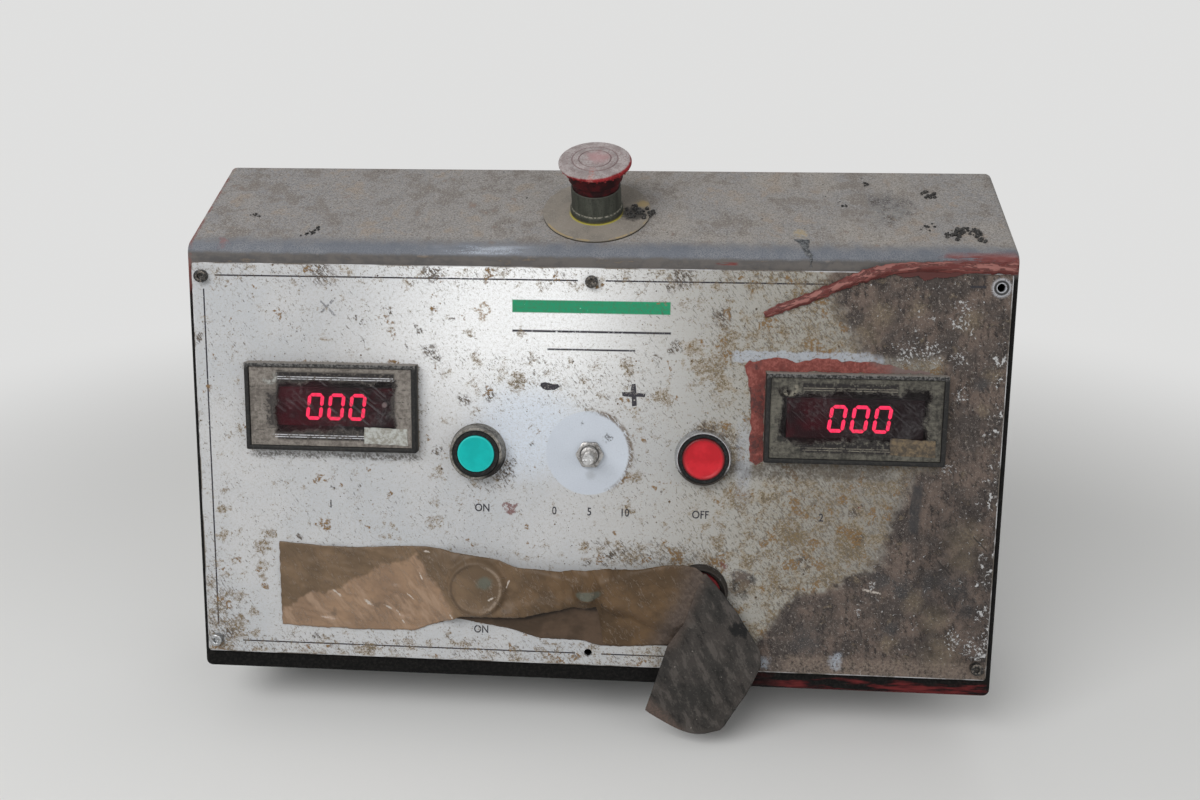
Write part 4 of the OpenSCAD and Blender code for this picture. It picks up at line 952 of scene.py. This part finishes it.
# A painted highlight runs along the disc's front rim, and a yellow patch of the disc shows through the dust on its
# right
rim_highlight = (reach - 30.2).within(0.8, 0.3) * cloudy.step(0.44, 0.54) * (top.part(1) - 30).step(0, -8)
bright = (flat.far(26, 44) + fine * 6 - 3).step(5, 2).either(rim_highlight)
colour.lay(bright * 0.65, (0.4, 0.29, 0.12))
colour.lay((reach - 15.5).within(0.6, 0.2) * (top.part(1) - 36).step(2, -6) * 0.8, (0.38, 0.34, 0.06))
colour.lay((flat.far(21, 34) + fine * 8 - 4).step(9, 5), (0.07, 0.065, 0.06))
colour.lay((top.part(2) + fine * 0.4).step(1.1, 0.8), (0.05, 0.042, 0.03))
finish(mm, colour, 0.8, fine + cloudy, 0.2)
dress(disc_card, "estop_label_disc")

collar_metal, mm = begin("grimy_collar_metal")
top = mm.seen_from(front_corner, rise)
high = top.part(2)
upright = top.stretch(1, 1, 0.12).grain(0.3, 4.0, 0.7)
fine = mm.grain(0.7, 4.0, 0.7)
colour = upright.blend(fine).step(0.38, 0.66).mix((0.034, 0.036, 0.029), (0.08, 0.084, 0.068))
colour.lay(fine.step(0.5, 0.66), (0.035, 0.034, 0.029))
colour.lay((high - 17.4).step(0, 0.4), (0.075, 0.075, 0.065))
colour.lay((high - 5.4).within(0.5, 0.15) * fine.step(0.4, 0.56), (0.24, 0.23, 0.19))
colour.lay((high + fine).step(3.4, 2.4), (0.13, 0.115, 0.05))
colour.lay((high + fine * 0.4).step(1.95, 1.75), (0.45, 0.4, 0.06))
finish(mm, colour, fine * 0.25 + 0.4, fine, 0.06, others={"Metallic": 0.35})
collar = [(8.1, -12), (11, -12), (11, 1.2), (15.1, 1.2), (15.1, 4.3), (14.9, 4.7), (14.15, 6), (14.1, 17.5),
          (13.9, 18), (13.4, 18), (13.22, 17.8), (13.2, 4.2), (8.1, 4.2)]
piece("estop_collar_turned", *turned(collar, at(0, stop_y, on_top), 64, True), collar_metal, sharp=32,
      slot="collar_metal", stands_for=("estop_collar",))
dress(collar_metal, "estop_locknut")
dress(dull_black, "estop_plunger")

mushroom_red, mm = begin("dusty_mushroom_plastic")
top = mm.seen_from(front_corner, rise)
high = top.part(2)
flat = top.flat()
fine, cloudy, grit = mm.grain(0.8, 5.0, 0.75), mm.grain(0.14, 4.0), mm.grain(1.8, 2.0, 0.7)
reach = flat.far(0, stop_y)
colour = cloudy.blend(fine, 0.4).step(0.42, 0.58).mix((0.15, 0.009, 0.011), (0.3, 0.022, 0.026))
# Painted shade: the head is darkened below the top of its rim, on the neck and under the overhang
colour.lay((high + fine * 2).step(32, 30),
           cloudy.step(0.42, 0.6).mix((0.018, 0.003, 0.004), (0.06, 0.005, 0.007)))
crown = cloudy.step(0.38, 0.6).mix((0.28, 0.245, 0.24), (0.4, 0.36, 0.355))
crown.lay(fine.blend(grit).step(0.48, 0.6), (0.22, 0.165, 0.165))
crown.lay((flat.far(2, 38.5) + cloudy * 14 - 7 + fine * 10 - 5).step(9, 2) * 0.7, (0.4, 0.23, 0.235))
for groove in (8.9, 12.7):
    crown.lay((reach - groove).within(0.55, 0.2) * 0.7, (0.17, 0.11, 0.11))
on_crown = (high * 1.6 + (20.3 - reach) * 1.1 - top.part(0) * 0.11 + (top.part(1) - stop_y) * 0.07
            + fine * 3.4 - 1.2 + cloudy * 3 - 1.5).step(52.4, 54.4)
colour.lay(on_crown, crown)
streak = ((top.part(0) + 1 + cloudy * 8 - 4).within(2.4, 0.6) * (top.part(1) - stop_y).step(-8, -13)
          * (high + fine).step(31, 32) * fine.step(0.42, 0.54))
colour.lay(streak * 0.6, (0.42, 0.17, 0.15))
rub = (high - 31.6 + fine * 2 - 1).within(1.2, 0.3) * fine.step(0.54, 0.64)
colour.lay(rub * 0.7, (0.4, 0.22, 0.2))
finish(mm, colour, fine * 0.3 + 0.5, fine + cloudy, 0.15)
mushroom = [(13.1, 8.3), (13.1, 21.7), (15, 22.9), (15.3, 23.4), (15.3, 28.8), (15.6, 29.6), (18.4, 30.9),
            (19.4, 31.3), (20, 31.7), (20.3, 32.2), (20.3, 32.8), (20.1, 33.3), (19.6, 33.7), (18.9, 34),
            (17.9, 34.2), (13.1, 34.5), (12.85, 34.25), (12.6, 34.25), (12.35, 34.55), (9.2, 34.7), (9, 34.4),
            (8.75, 34.4), (8.5, 34.75), (5, 34.85), (1, 34.95)]
piece("mushroom_head", *turned(mushroom, at(0, stop_y, on_top), 96), mushroom_red, "estop_head", 50,
      "mushroom_plastic", ("estop_mushroom",))

# Small ribs stand round the underside of the rim for grip
rib_tree, given = open_tree("grip_ribs", [("Ribs", "Int", 24), ("Circle", "Float", 0.018),
                                          ("Rib length", "Float", 0.002), ("Seat", "Vector", (0, 0, 0)),
                                          ("Tilt", "Vector", (0, 0, 0))])
circle = branch(rib_tree, "GeometryNodeMeshCircle", {"fill_type": "NONE"},
                {"Vertices": given["Ribs"], "Radius": given["Circle"]})
rib = branch(rib_tree, "GeometryNodeMeshUVSphere", {}, {"Segments": 8, "Rings": 6, "Radius": 0.0008})
place = branch(rib_tree, "GeometryNodeInputPosition")
heading = branch(rib_tree, "FunctionNodeAlignRotationToVector", {"axis": "X"}, {"Vector": place.outputs[0]})
long_rib = branch(rib_tree, "ShaderNodeCombineXYZ", {}, {0: 2.4, 1: 0.9, 2: 1.0})
ribs = branch(rib_tree, "GeometryNodeInstanceOnPoints", {},
              {"Points": circle.outputs[0], "Instance": rib.outputs[0], "Rotation": heading.outputs[0],
               "Scale": long_rib.outputs[0]})
set_on = branch(rib_tree, "GeometryNodeTransform", {},
                {"Geometry": ribs.outputs[0], "Translation": given["Seat"], "Rotation": given["Tilt"]})
close_tree(rib_tree, set_on.outputs[0], mushroom_red)
grip = bpy.data.objects.new("mushroom_grip_ribs", bpy.data.meshes.new("mushroom_grip_ribs"))
bpy.context.scene.collection.objects.link(grip)
grown(grip, rib_tree, {"Ribs": 26, "Circle": 0.0178, "Seat": on_top(0, stop_y, 30.7),
                       "Tilt": Vector((rise, 0, 0))})
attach(grip, "estop_head")


# Cable gland: black plastic, screwed into the underside from below with a nut inside the box.
gland = simple("gland_nylon", (0.5, 4.0), (0.4, 0.7), ((0.014, 0.014, 0.014), (0.05, 0.046, 0.04)), 0.5, 0.1)
dress(gland, "gland_body", "gland_locknut")


# Packing tape: brown film in two layers over the lower row of controls, pressed down round them.
# It stands like a tent on the bare shaft, and the upper layer's lower edge has come loose.
def along(line, x):
    """Height of a broken line at x."""
    if x <= line[0][0]:
        return line[0][1]
    for (ax, ay), (bx, by) in zip(line, line[1:]):
        if x <= bx:
            return ay + (by - ay) * (x - ax) / (bx - ax)
    return line[-1][1]


def ease(low, high, value):
    share = min(1, max(0, (value - low) / (high - low)))
    return share * share * (3 - 2 * share)


ridge = [(-182, 0.4), (-96, 0.6), (-88, 2.4), (-80, 5.4), (-76, 6), (-50, 6), (-42, 6.2), (-28, 7.0),
         (-14, 9.8), (-3.4, 16.8), (3.4, 16.8), (12, 11.0), (25, 7.6), (44, 6.4), (52, 6.9), (68, 6.9)]
spread = [(-96, 6), (-78, 15), (-50, 15), (-38, 9), (-14, 7), (0, 3.2), (14, 7), (25, 9), (46, 15), (68, 16)]
upper_edge = [(-180.5, -46), (-158, -47.4), (-136, -48), (-112, -46.6), (-95, -46), (-77, -48), (-62, -49.6),
              (-51, -51), (-44, -54), (-39.5, -55.5), (-16.5, -56.5), (8, -55), (29, -54), (43.5, -51),
              (54, -50.2), (61, -51.4), (66, -55.5)]
torn_edge = [(-180.5, -96.5), (-150, -97.3), (-128, -97.4), (-102, -97), (-86, -91), (-77.5, -87.4),
             (-72, -85), (-51, -84.6), (-36.6, -85), (-22, -80.5), (-9, -76.5), (5.6, -76), (9, -101),
             (19, -102), (46, -100.2), (56, -98.5), (66, -96)]
under_edge = [(-90, -93), (-77, -88.4), (-62, -91), (-45, -94), (-28, -99), (-2, -99.4), (7, -102),
              (19, -102.2), (46, -100.4), (66, -96)]


def tape_height(px, py):
    """How high the upper layer lies over the plate, in millimetres."""
    off = abs(py - lower_row)
    half = along(spread, px)
    slope = 1 - ease(0, 1, (off - half) / (9 + half * 0.35))
    if off < half:
        slope = 1
    peak = math.hypot(px, py - lower_row)
    tent = 16.9 * math.exp(-max(0, peak - 3.2) / 8.5)
    body = along(ridge, px) * slope
    if -14 < px < 14:
        body = min(body, 8.8 * slope)
    high = max(body, tent)
    start = math.hypot(px + button_x, py - lower_row)
    high = max(high, 9.1 * (1 - ease(15.2, 20, start))) + 0.55 * math.exp(-((start - 14.1) / 1.1) ** 2)
    crease = noise.noise(Vector((px * 0.11 + py * 0.06, py * 0.13 - px * 0.05, 4.0)))
    ripple = noise.noise(Vector((px * 0.06 + py * 0.24, py * 0.05 - px * 0.02, 9.0)))
    lifted = ease(12, 0, py - along(torn_edge, px)) * ease(-92, -70, px) * ease(8, -6, px)
    high += lifted * (3.4 + crease * 2) * (1 - high / 20)
    wrinkled = ease(-184, -165, px) * ease(-70, -100, px)
    flat_part = 1 - 0.85 * ease(15.2, 12, start)
    return 0.45 + high + (abs(crease) * 0.9 + abs(ripple) * (0.35 + wrinkled * 0.9)) * flat_part


def under_height(px, py):
    """How high the lower layer lies: it climbs under the upper one and joins it right of the shaft."""
    joined = ease(-6, 10, px)
    own = 0.35 + 4.2 * ease(-96, -72, py) + abs(noise.noise(Vector((px * 0.12, py * 0.2, 2.0)))) * 0.9
    return min(own * (1 - joined) + (tape_height(px, py) - 0.3) * joined, tape_height(px, py) - 0.25)


def shell(name, top, rows, thick, material, **kind):
    """A closed film under places on the plate, given in columns of rows + 1. Its area is returned too."""
    cell, count = rows + 1, len(top)
    columns = count // cell - 1
    faces, area = [], 0
    for i in range(columns):
        for j in range(rows):
            a = i * cell + j
            quad = (a, a + cell, a + cell + 1, a + 1)
            p, q, r, s = (Vector(top[k]) for k in quad)
            area += ((r - p).cross(s - q)).length / 2e6
            faces += [quad, tuple(k + count for k in quad[::-1])]
    rim = list(range(rows)) + [i * cell + rows for i in range(columns)]
    rim += [columns * cell + j for j in range(rows, 0, -1)] + [i * cell for i in range(columns, 0, -1)]
    faces += [(a, b, b + count, a + count) for a, b in zip(rim, rim[1:] + rim[:1])]
    points = [on_plate(*point) for point in top] + [on_plate(px, py, pz - thick) for px, py, pz in top]
    return piece(name, points, faces, material, **kind), area


def film(low_edge, high_edge, height, left, right, gap, rows=46):
    """The places of a film between two edges with a torn rim."""
    columns = round((right - left) / gap)
    top = []
    for i in range(columns + 1):
        px = left + (right - left) * i / columns
        tear = noise.noise(Vector((px * 0.5, 1.0, left))) * 0.5
        y0, y1 = along(low_edge, px) + tear, along(high_edge, px) + tear * 0.4
        for j in range(rows + 1):
            py = y0 + (y1 - y0) * j / rows
            bow = noise.noise(Vector((py * 0.4, 5.0, left))) * 0.6
            top.append((px + (bow if i in (0, columns) else 0), py, height(px, py)))
    return top, rows


brown_film, mm = begin("brown_packing_film")
face = mm.seen_from(plate_seat, tilt)
x, y = face.part(0), face.part(1)
flat = face.flat()
cloudy, fine = flat.grain(0.045, 4.0), flat.grain(0.4, 5.0, 0.7)
creases = flat.drawn_out(-0.95, 2.6, 0.75).grain(0.12, 4.0, 0.6)
colour = cloudy.step(0.38, 0.62).mix((0.16, 0.107, 0.065), (0.115, 0.078, 0.048))
colour.lay(x.step(-75, -5), cloudy.step(0.38, 0.62).mix((0.118, 0.072, 0.037), (0.072, 0.045, 0.024)))
wave = cloudy * 20 - 10 + flat.grain(0.12, 3.0) * 12 - 6
light = (y * -1 - 3.2 + x * 0.463 + wave).step(-1, 2) * (x + y * 0.607 + 130 + wave * 0.7).step(2, -2)
light = light * (x + fine * 2).step(-300, -182)
bare = cloudy.step(0.36, 0.6).mix((0.26, 0.165, 0.1), (0.205, 0.13, 0.08))
colour.lay(light, (creases.step(0.5, 0.64) * 0.6).mix(bare, (0.32, 0.22, 0.15)))
colour.lay((flat.grain(0.07, 4.0) * 0.7 + fine * 0.3).step(0.56, 0.68) * 0.6, (0.085, 0.062, 0.046))
seen_through = (flat.stretch(1, 1.15, 1).far(-58.7, -74) + fine * 5 + cloudy * 6 - 3).step(9, 5.5).either(
    (flat.stretch(0.62, 1.6, 1).far(0.5, -108) + fine * 2).step(6, 4.5))
colour.lay(seen_through * 0.7, (0.1, 0.115, 0.095))
crack = (creases - 0.5).within(0.012, 0.003)
colour.lay(crack * 0.35, (0.3, 0.24, 0.19))
# Painted highlights: light glints drawn along the creases
glints = [(-146.7, -76, -0.7, 5, 0.9), (-129, -81, -0.6, 4.5, 1.2), (-117.3, -83.1, -0.5, 4, 0.8),
          (-111, -86.5, -0.9, 3, 0.7), (-107.9, -91.8, -1, 3, 0.7), (-103.7, -76.1, -0.8, 5, 0.7),
          (-97.1, -64, -1.1, 5, 0.6), (-93.3, -49.2, -0.2, 3, 0.9), (-78.6, -85.5, -0.8, 3, 0.8),
          (-54.8, -73.3, 0.5, 3.5, 0.8), (-45.5, -64.6, 1.2, 4, 0.6)]
shine = None
for gx, gy, turn, long, wide in glints:
    glint = flat.node("Mapping", {"vector_type": "TEXTURE"},
                      {"Vector": flat, "Location": (gx, gy, 0), "Rotation": (0, 0, turn),
                       "Scale": (long, wide, 1)}).far(0, 0)
    shine = glint if shine is None else shine.both(glint)
shine = (shine + fine * 3.2 - 1.6).step(0.75, 0.3)
colour.lay(shine * 0.8, (0.5, 0.45, 0.4))
# The crease ring round the start button is drawn dark on its left as a painted shade and light on its right as a
# painted highlight
ring = (flat.far(-button_x, lower_row) + cloudy * 4 - 2 - 14.2).within(1.2, 0.3)
colour.lay(ring * (x + 66).step(5, -5) * 0.6, (0.06, 0.04, 0.026))
colour.lay(ring * (x + 60).step(-3, 5) * fine.step(0.36, 0.5) * 0.5, (0.33, 0.26, 0.2))
fade = (x - 65.5 - (y + 54.6) * 0.451 + cloudy * 10 - 5).step(-16, -2)
colour.lay(fade * 0.85, fine.step(0.4, 0.62).mix((0.062, 0.047, 0.04), (0.1, 0.078, 0.066)))
finish(mm, colour, 0.3 + fine * 0.25 - light * 0.06, creases * 3 + fine * 0.5 + crack * 0.5, 0.35,
       others={"Coat Weight": light * 0.5})
tape, tape_area = shell("tape_upper_layer", *film(torn_edge, upper_edge, tape_height, -180.5, 66, 1.3), 0.22,
                        brown_film)
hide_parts("packing_tape")

old_film, mm = begin("darker_old_film")
fine, cloudy = mm.grain(0.4, 5.0, 0.7), mm.grain(0.06, 4.0)
colour = cloudy.step(0.38, 0.62).mix((0.085, 0.055, 0.036), (0.055, 0.036, 0.023))
colour.lay(fine.step(0.58, 0.7), (0.05, 0.036, 0.026))
face = mm.seen_from(plate_seat, tilt)
# A painted shadow on the lower layer under the upper layer's loose edge
loose_edge = ((face.part(0) + 36.6) * 0.31).either(0).both(8.6) - 85
painted_edge_shadow = (face.part(1) - loose_edge + fine * 2).step(-3.6, -0.6)
colour.lay(painted_edge_shadow * 0.85, (0.016, 0.011, 0.008))
finish(mm, colour, 0.4 + fine * 0.2, fine + cloudy * 2, 0.25)
lower_top = [(px, max(py, along(torn_edge, px) + 9) if px < 6 else -62) for px,
             py in [(-90, -84), (-77, -80), (-60, -76), (-40, -76), (-20, -72), (-6, -68), (5, -66), (7, -62),
                    (66, -62)]]
under, under_area = shell("tape_lower_layer", *film(under_edge, lower_top, under_height, -89, 65, 1.4), 0.2,
                          old_film)


# Grey tape: a folded end that has come off the lower stop button and hangs past the box's lower edge.
# Its glue side is thick with dust.
left_side = [(0.0, 65.5, -54.6), (0.12, 61, -66), (0.3, 55, -84.5), (0.44, 45.7, -98.5), (0.7, 39.4, -119),
             (0.93, 33.9, -137.7), (1.0, 36, -139.6)]
right_side = [(0.0, 66.8, -54.9), (0.1, 76.5, -66), (0.2, 84.6, -76.8), (0.42, 98.3, -99.4),
              (0.5, 99.2, -107.7), (0.7, 91.3, -125.4), (0.92, 79.6, -146), (1.0, 77, -148.4)]
flap_top = []
for i in range(61):
    t = i / 60
    lx, ly = (along([(p[0], p[k]) for p in left_side], t) for k in (1, 2))
    rx, ry = (along([(p[0], p[k]) for p in right_side], t) for k in (1, 2))
    for j in range(41):
        s = j / 40
        px, py = lx + (rx - lx) * s, ly + (ry - ly) * s
        py -= 7.2 * ease(0.82, 1, t) * math.sin(math.pi * s) * (0.6 + 0.4 * s)
        wave = noise.noise(Vector((px * 0.045, py * 0.03, 6.0))) * 2.6 * ease(0.1, 0.5, t)
        curl = 2.2 * ease(0.75, 1, t) * (1 - s) ** 2 + 1.4 * ease(0.5, 0.9, s) * ease(0.2, 0.45, t)
        rough = abs(noise.noise(Vector((px * 0.3, py * 0.3, 3.0)))) * 0.35
        flap_top.append((px, py, 7.9 + wave - curl + rough))
grey_tape, mm = begin("dusty_grey_tape")
face = mm.seen_from(plate_seat, tilt)
flat = face.flat()
cloudy, fine = flat.grain(0.05, 4.0), flat.grain(0.7, 5.0, 0.75)
colour = cloudy.step(0.36, 0.62).mix((0.05, 0.044, 0.04), (0.03, 0.028, 0.026))
streaky = flat.drawn_out(-1.1, 2, 0.8).grain(0.14, 4.0, 0.7)
colour.lay(streaky.step(0.5, 0.64) * 0.8, (0.085, 0.075, 0.068))
colour.lay(streaky.step(0.46, 0.34) * 0.8, (0.016, 0.015, 0.014))
colour.lay(fine.step(0.56, 0.68) * 0.7, (0.11, 0.1, 0.09))
colour.lay(flat.spots(0.3, 0.2, 0.12), (0.18, 0.165, 0.15))
blob = (flat.stretch(0.7, 1, 1).far(60, -86) + streaky * 14 - 7 + fine * 5).step(7.5, 5)
colour.lay(blob * fine.step(0.34, 0.46), (0.011, 0.011, 0.011))
from_edge = face.part(0) - 65.5 - (face.part(1) + 54.6) * 0.451
brown = (from_edge + cloudy * 14 - 7 + fine * 3).step(11, 0) * face.part(1).step(-108, -92)
colour.lay(brown * 0.8, fine.step(0.4, 0.62).mix((0.07, 0.052, 0.043), (0.105, 0.08, 0.066)))
fold = (face.part(0) * 0.72 - face.part(1) * -0.7 + fine * 2 + cloudy * 6).step(-58, -64)
colour.lay(fold, fine.step(0.4, 0.6).mix((0.12, 0.085, 0.07), (0.075, 0.06, 0.052)))
finish(mm, colour, 0.85, fine * 1.5 + cloudy * 2, 0.3)
flap, flap_area = shell("grey_tape_end", flap_top, 40, 0.55, grey_tape, slot="grey_tape",
                        stands_for=("tape_flap",))


# Peeled paint: a thick red coat that has lifted off the upper right corner and curled into a strip.
# A second torn layer lies flat under it.
strip_path = [(94.5, 90.4, 2.1), (104, 94.6, 2.5), (115, 98.6, 2.7), (125, 102.9, 2.8), (134, 107, 2.7),
              (143, 110.8, 3.2), (152, 114, 3.3), (162, 116.4, 3), (174, 117.6, 2.6), (188, 117.7, 2.7),
              (203, 117.4, 2.9), (216, 117.4, 3.1), (227.4, 117.4, 3.3)]
loops = []
for i in range(109):
    t = i / 108 * (len(strip_path) - 1)
    k = min(int(t), len(strip_path) - 2)
    a, b = Vector(strip_path[k]), Vector(strip_path[k + 1])
    spot = a.lerp(b, t - k)
    before, after = Vector(strip_path[max(k - 1, 0)]), Vector(strip_path[min(k + 2, len(strip_path) - 1)])
    ahead = (after - before).to_2d().normalized()
    side = Vector((-ahead.y, ahead.x))
    half = spot.z * (1 + noise.noise(Vector((t * 3, 0, 7))) * 0.35) * ease(-2, 1, i)
    loop = []
    for step in range(24):
        turn = math.tau * step / 24
        arc = math.cos(turn)
        inner = math.sin(turn) < 0
        lift = (2.6 * (1 - arc * arc * 0.75) * (0.62 if inner else 1)
                + noise.noise(Vector((t * 2.5, step * 0.8, 2))) * 0.3)
        lift *= 0.6 + half * 0.14
        fringe = noise.noise(Vector((t * 7, arc * 2, 3))) * 0.5 * abs(arc)
        place = spot.to_2d() + side * (half * arc + fringe)
        loop.append(on_plate(place.x, place.y, 0.35 + lift))
    loops.append(loop)
strip_points, strip_faces = skin(loops)
peel_red, mm = begin("peeled_red_paint")
face = mm.seen_from(plate_seat, tilt)
trail = mm.node("Attribute", {"attribute_name": "trail"}, {}, 1)
round_strip = trail.part(1)
fibre = trail.grain(1, 3.0, 0.6)
fine = mm.grain(0.6, 4.0, 0.7)
colour = fibre.step(0.42, 0.58).mix((0.17, 0.05, 0.044), (0.11, 0.028, 0.025))
# The top of the strip is drawn lighter pink as a painted highlight
upper_side = ((round_strip + fine * 0.5 + fibre * 0.8).step(0.55, 1.25)
              * (round_strip + fine * 0.4).step(2.6, 2.0))
colour.lay(upper_side * fibre.step(0.6, 0.42), (0.27, 0.115, 0.1))
colour.lay((fibre - 0.5).within(0.04, 0.01) * 0.8, (0.06, 0.02, 0.018))
# Painted shade: the low parts of the strip and the torn layer under it, near the plate, are drawn dark
colour.lay((face.part(2) + fine * 0.6).step(2.9, 2.5), (0.03, 0.012, 0.011))
finish(mm, colour, 0.55, fibre * 2 + fine, 0.3)
strip = piece("peeled_strip", strip_points, strip_faces, peel_red, slot="red_paint_skin",
              stands_for=("peeled_paint_strip",))
marks = strip.data.attributes.new("trail", "FLOAT_VECTOR", "POINT")
for i, item in enumerate(marks.data):
    item.vector = (i // 24 * 0.11, i % 24 * math.tau / 24, 5)
torn_layer = [(150, 110.2), (158, 111.6), (162, 114.2), (168.6, 111.6), (175.4, 113), (179, 110.4), (187, 112),
              (194, 112.6), (203, 114.8), (203, 117.5), (180, 117.5), (158, 116.5), (146, 113.5)]
piece("torn_paint_layer", *slab(ragged(torn_layer, 1.1, 0.7, 5.1), 0.1, 0.75), peel_red, sharp=40,
      slot="red_paint_skin")


# Studio: a plain pale floor and soft light from large lamps. The camera stands where the photograph was taken.
# Away from the object the floor runs into the pale surroundings, and near it the floor keeps the shadow.
pale, mm = begin("pale_floor")
seen = mm.node("LightPath")
far_off = mm.far(0, 0, -150).step(420, 1000)
near_floor = mm.node("BsdfDiffuse", {}, {"Color": (0.8, 0.8, 0.79)})
glow = mm.node("Emission", {}, {"Color": (0.74, 0.74, 0.735), "Strength": 1.0})
to_eye = seen.either(seen.other("Is Glossy Ray")).either(seen.other("Is Transmission Ray"))
mm.node("OutputMaterial", {},
        {"Surface": mm.node("MixShader", {}, {0: far_off * to_eye, 1: near_floor, 2: glow})})
floor_z = cad_box[0][2] - 0.012
floor = piece("floor", [(-6, -6, floor_z), (6, -6, floor_z), (6, 6, floor_z), (-6, 6, floor_z)],
              [(0, 1, 2, 3)], pale)
world = bpy.data.worlds.new("studio")
world.use_nodes = True
backdrop = Field(world.node_tree.nodes["Background"].inputs["Strength"])
seen = backdrop.node("LightPath")
to_eye = seen.either(seen.other("Is Glossy Ray")).either(seen.other("Is Transmission Ray"))
world.node_tree.links.new((to_eye * 0.4 + 0.34).socket, backdrop.socket)
world.node_tree.nodes["Background"].inputs["Color"].default_value = (1, 1, 0.993, 1)
bpy.context.scene.world = world


def lamp(name, spot, aim, side, watts):
    light = bpy.data.lights.new(name, "AREA")
    light.shape = "RECTANGLE"
    light.size, light.size_y = side
    light.energy = watts
    holder = bpy.data.objects.new(name, light)
    holder.location = spot
    holder.rotation_euler = (Vector(aim) - Vector(spot)).to_track_quat("-Z", "Y").to_euler()
    bpy.context.scene.collection.objects.link(holder)


lamp("key", (-0.6, -1.15, 0.95), (0, -0.05, 0.02), (1.2, 0.8), 16.5)
lamp("fill", (1.0, -1.1, 0.5), (0, -0.05, 0), (0.9, 0.9), 4)
lamp("back", (0.3, 1.2, 0.9), (0, 0, 0), (1.2, 0.8), 2.5)

camera = bpy.data.cameras.new("camera")
camera.lens = 32.554
camera.sensor_width = 36
camera.clip_start = 0.01
eye = bpy.data.objects.new("camera", camera)
eye.location = (0.04714, -0.66688, 0.22108)
eye.rotation_euler = (math.radians(71.04), math.radians(0.0482), math.radians(4.1731))
bpy.context.scene.collection.objects.link(eye)
bpy.context.scene.camera = eye
bpy.context.scene.view_settings.view_transform = "Standard"
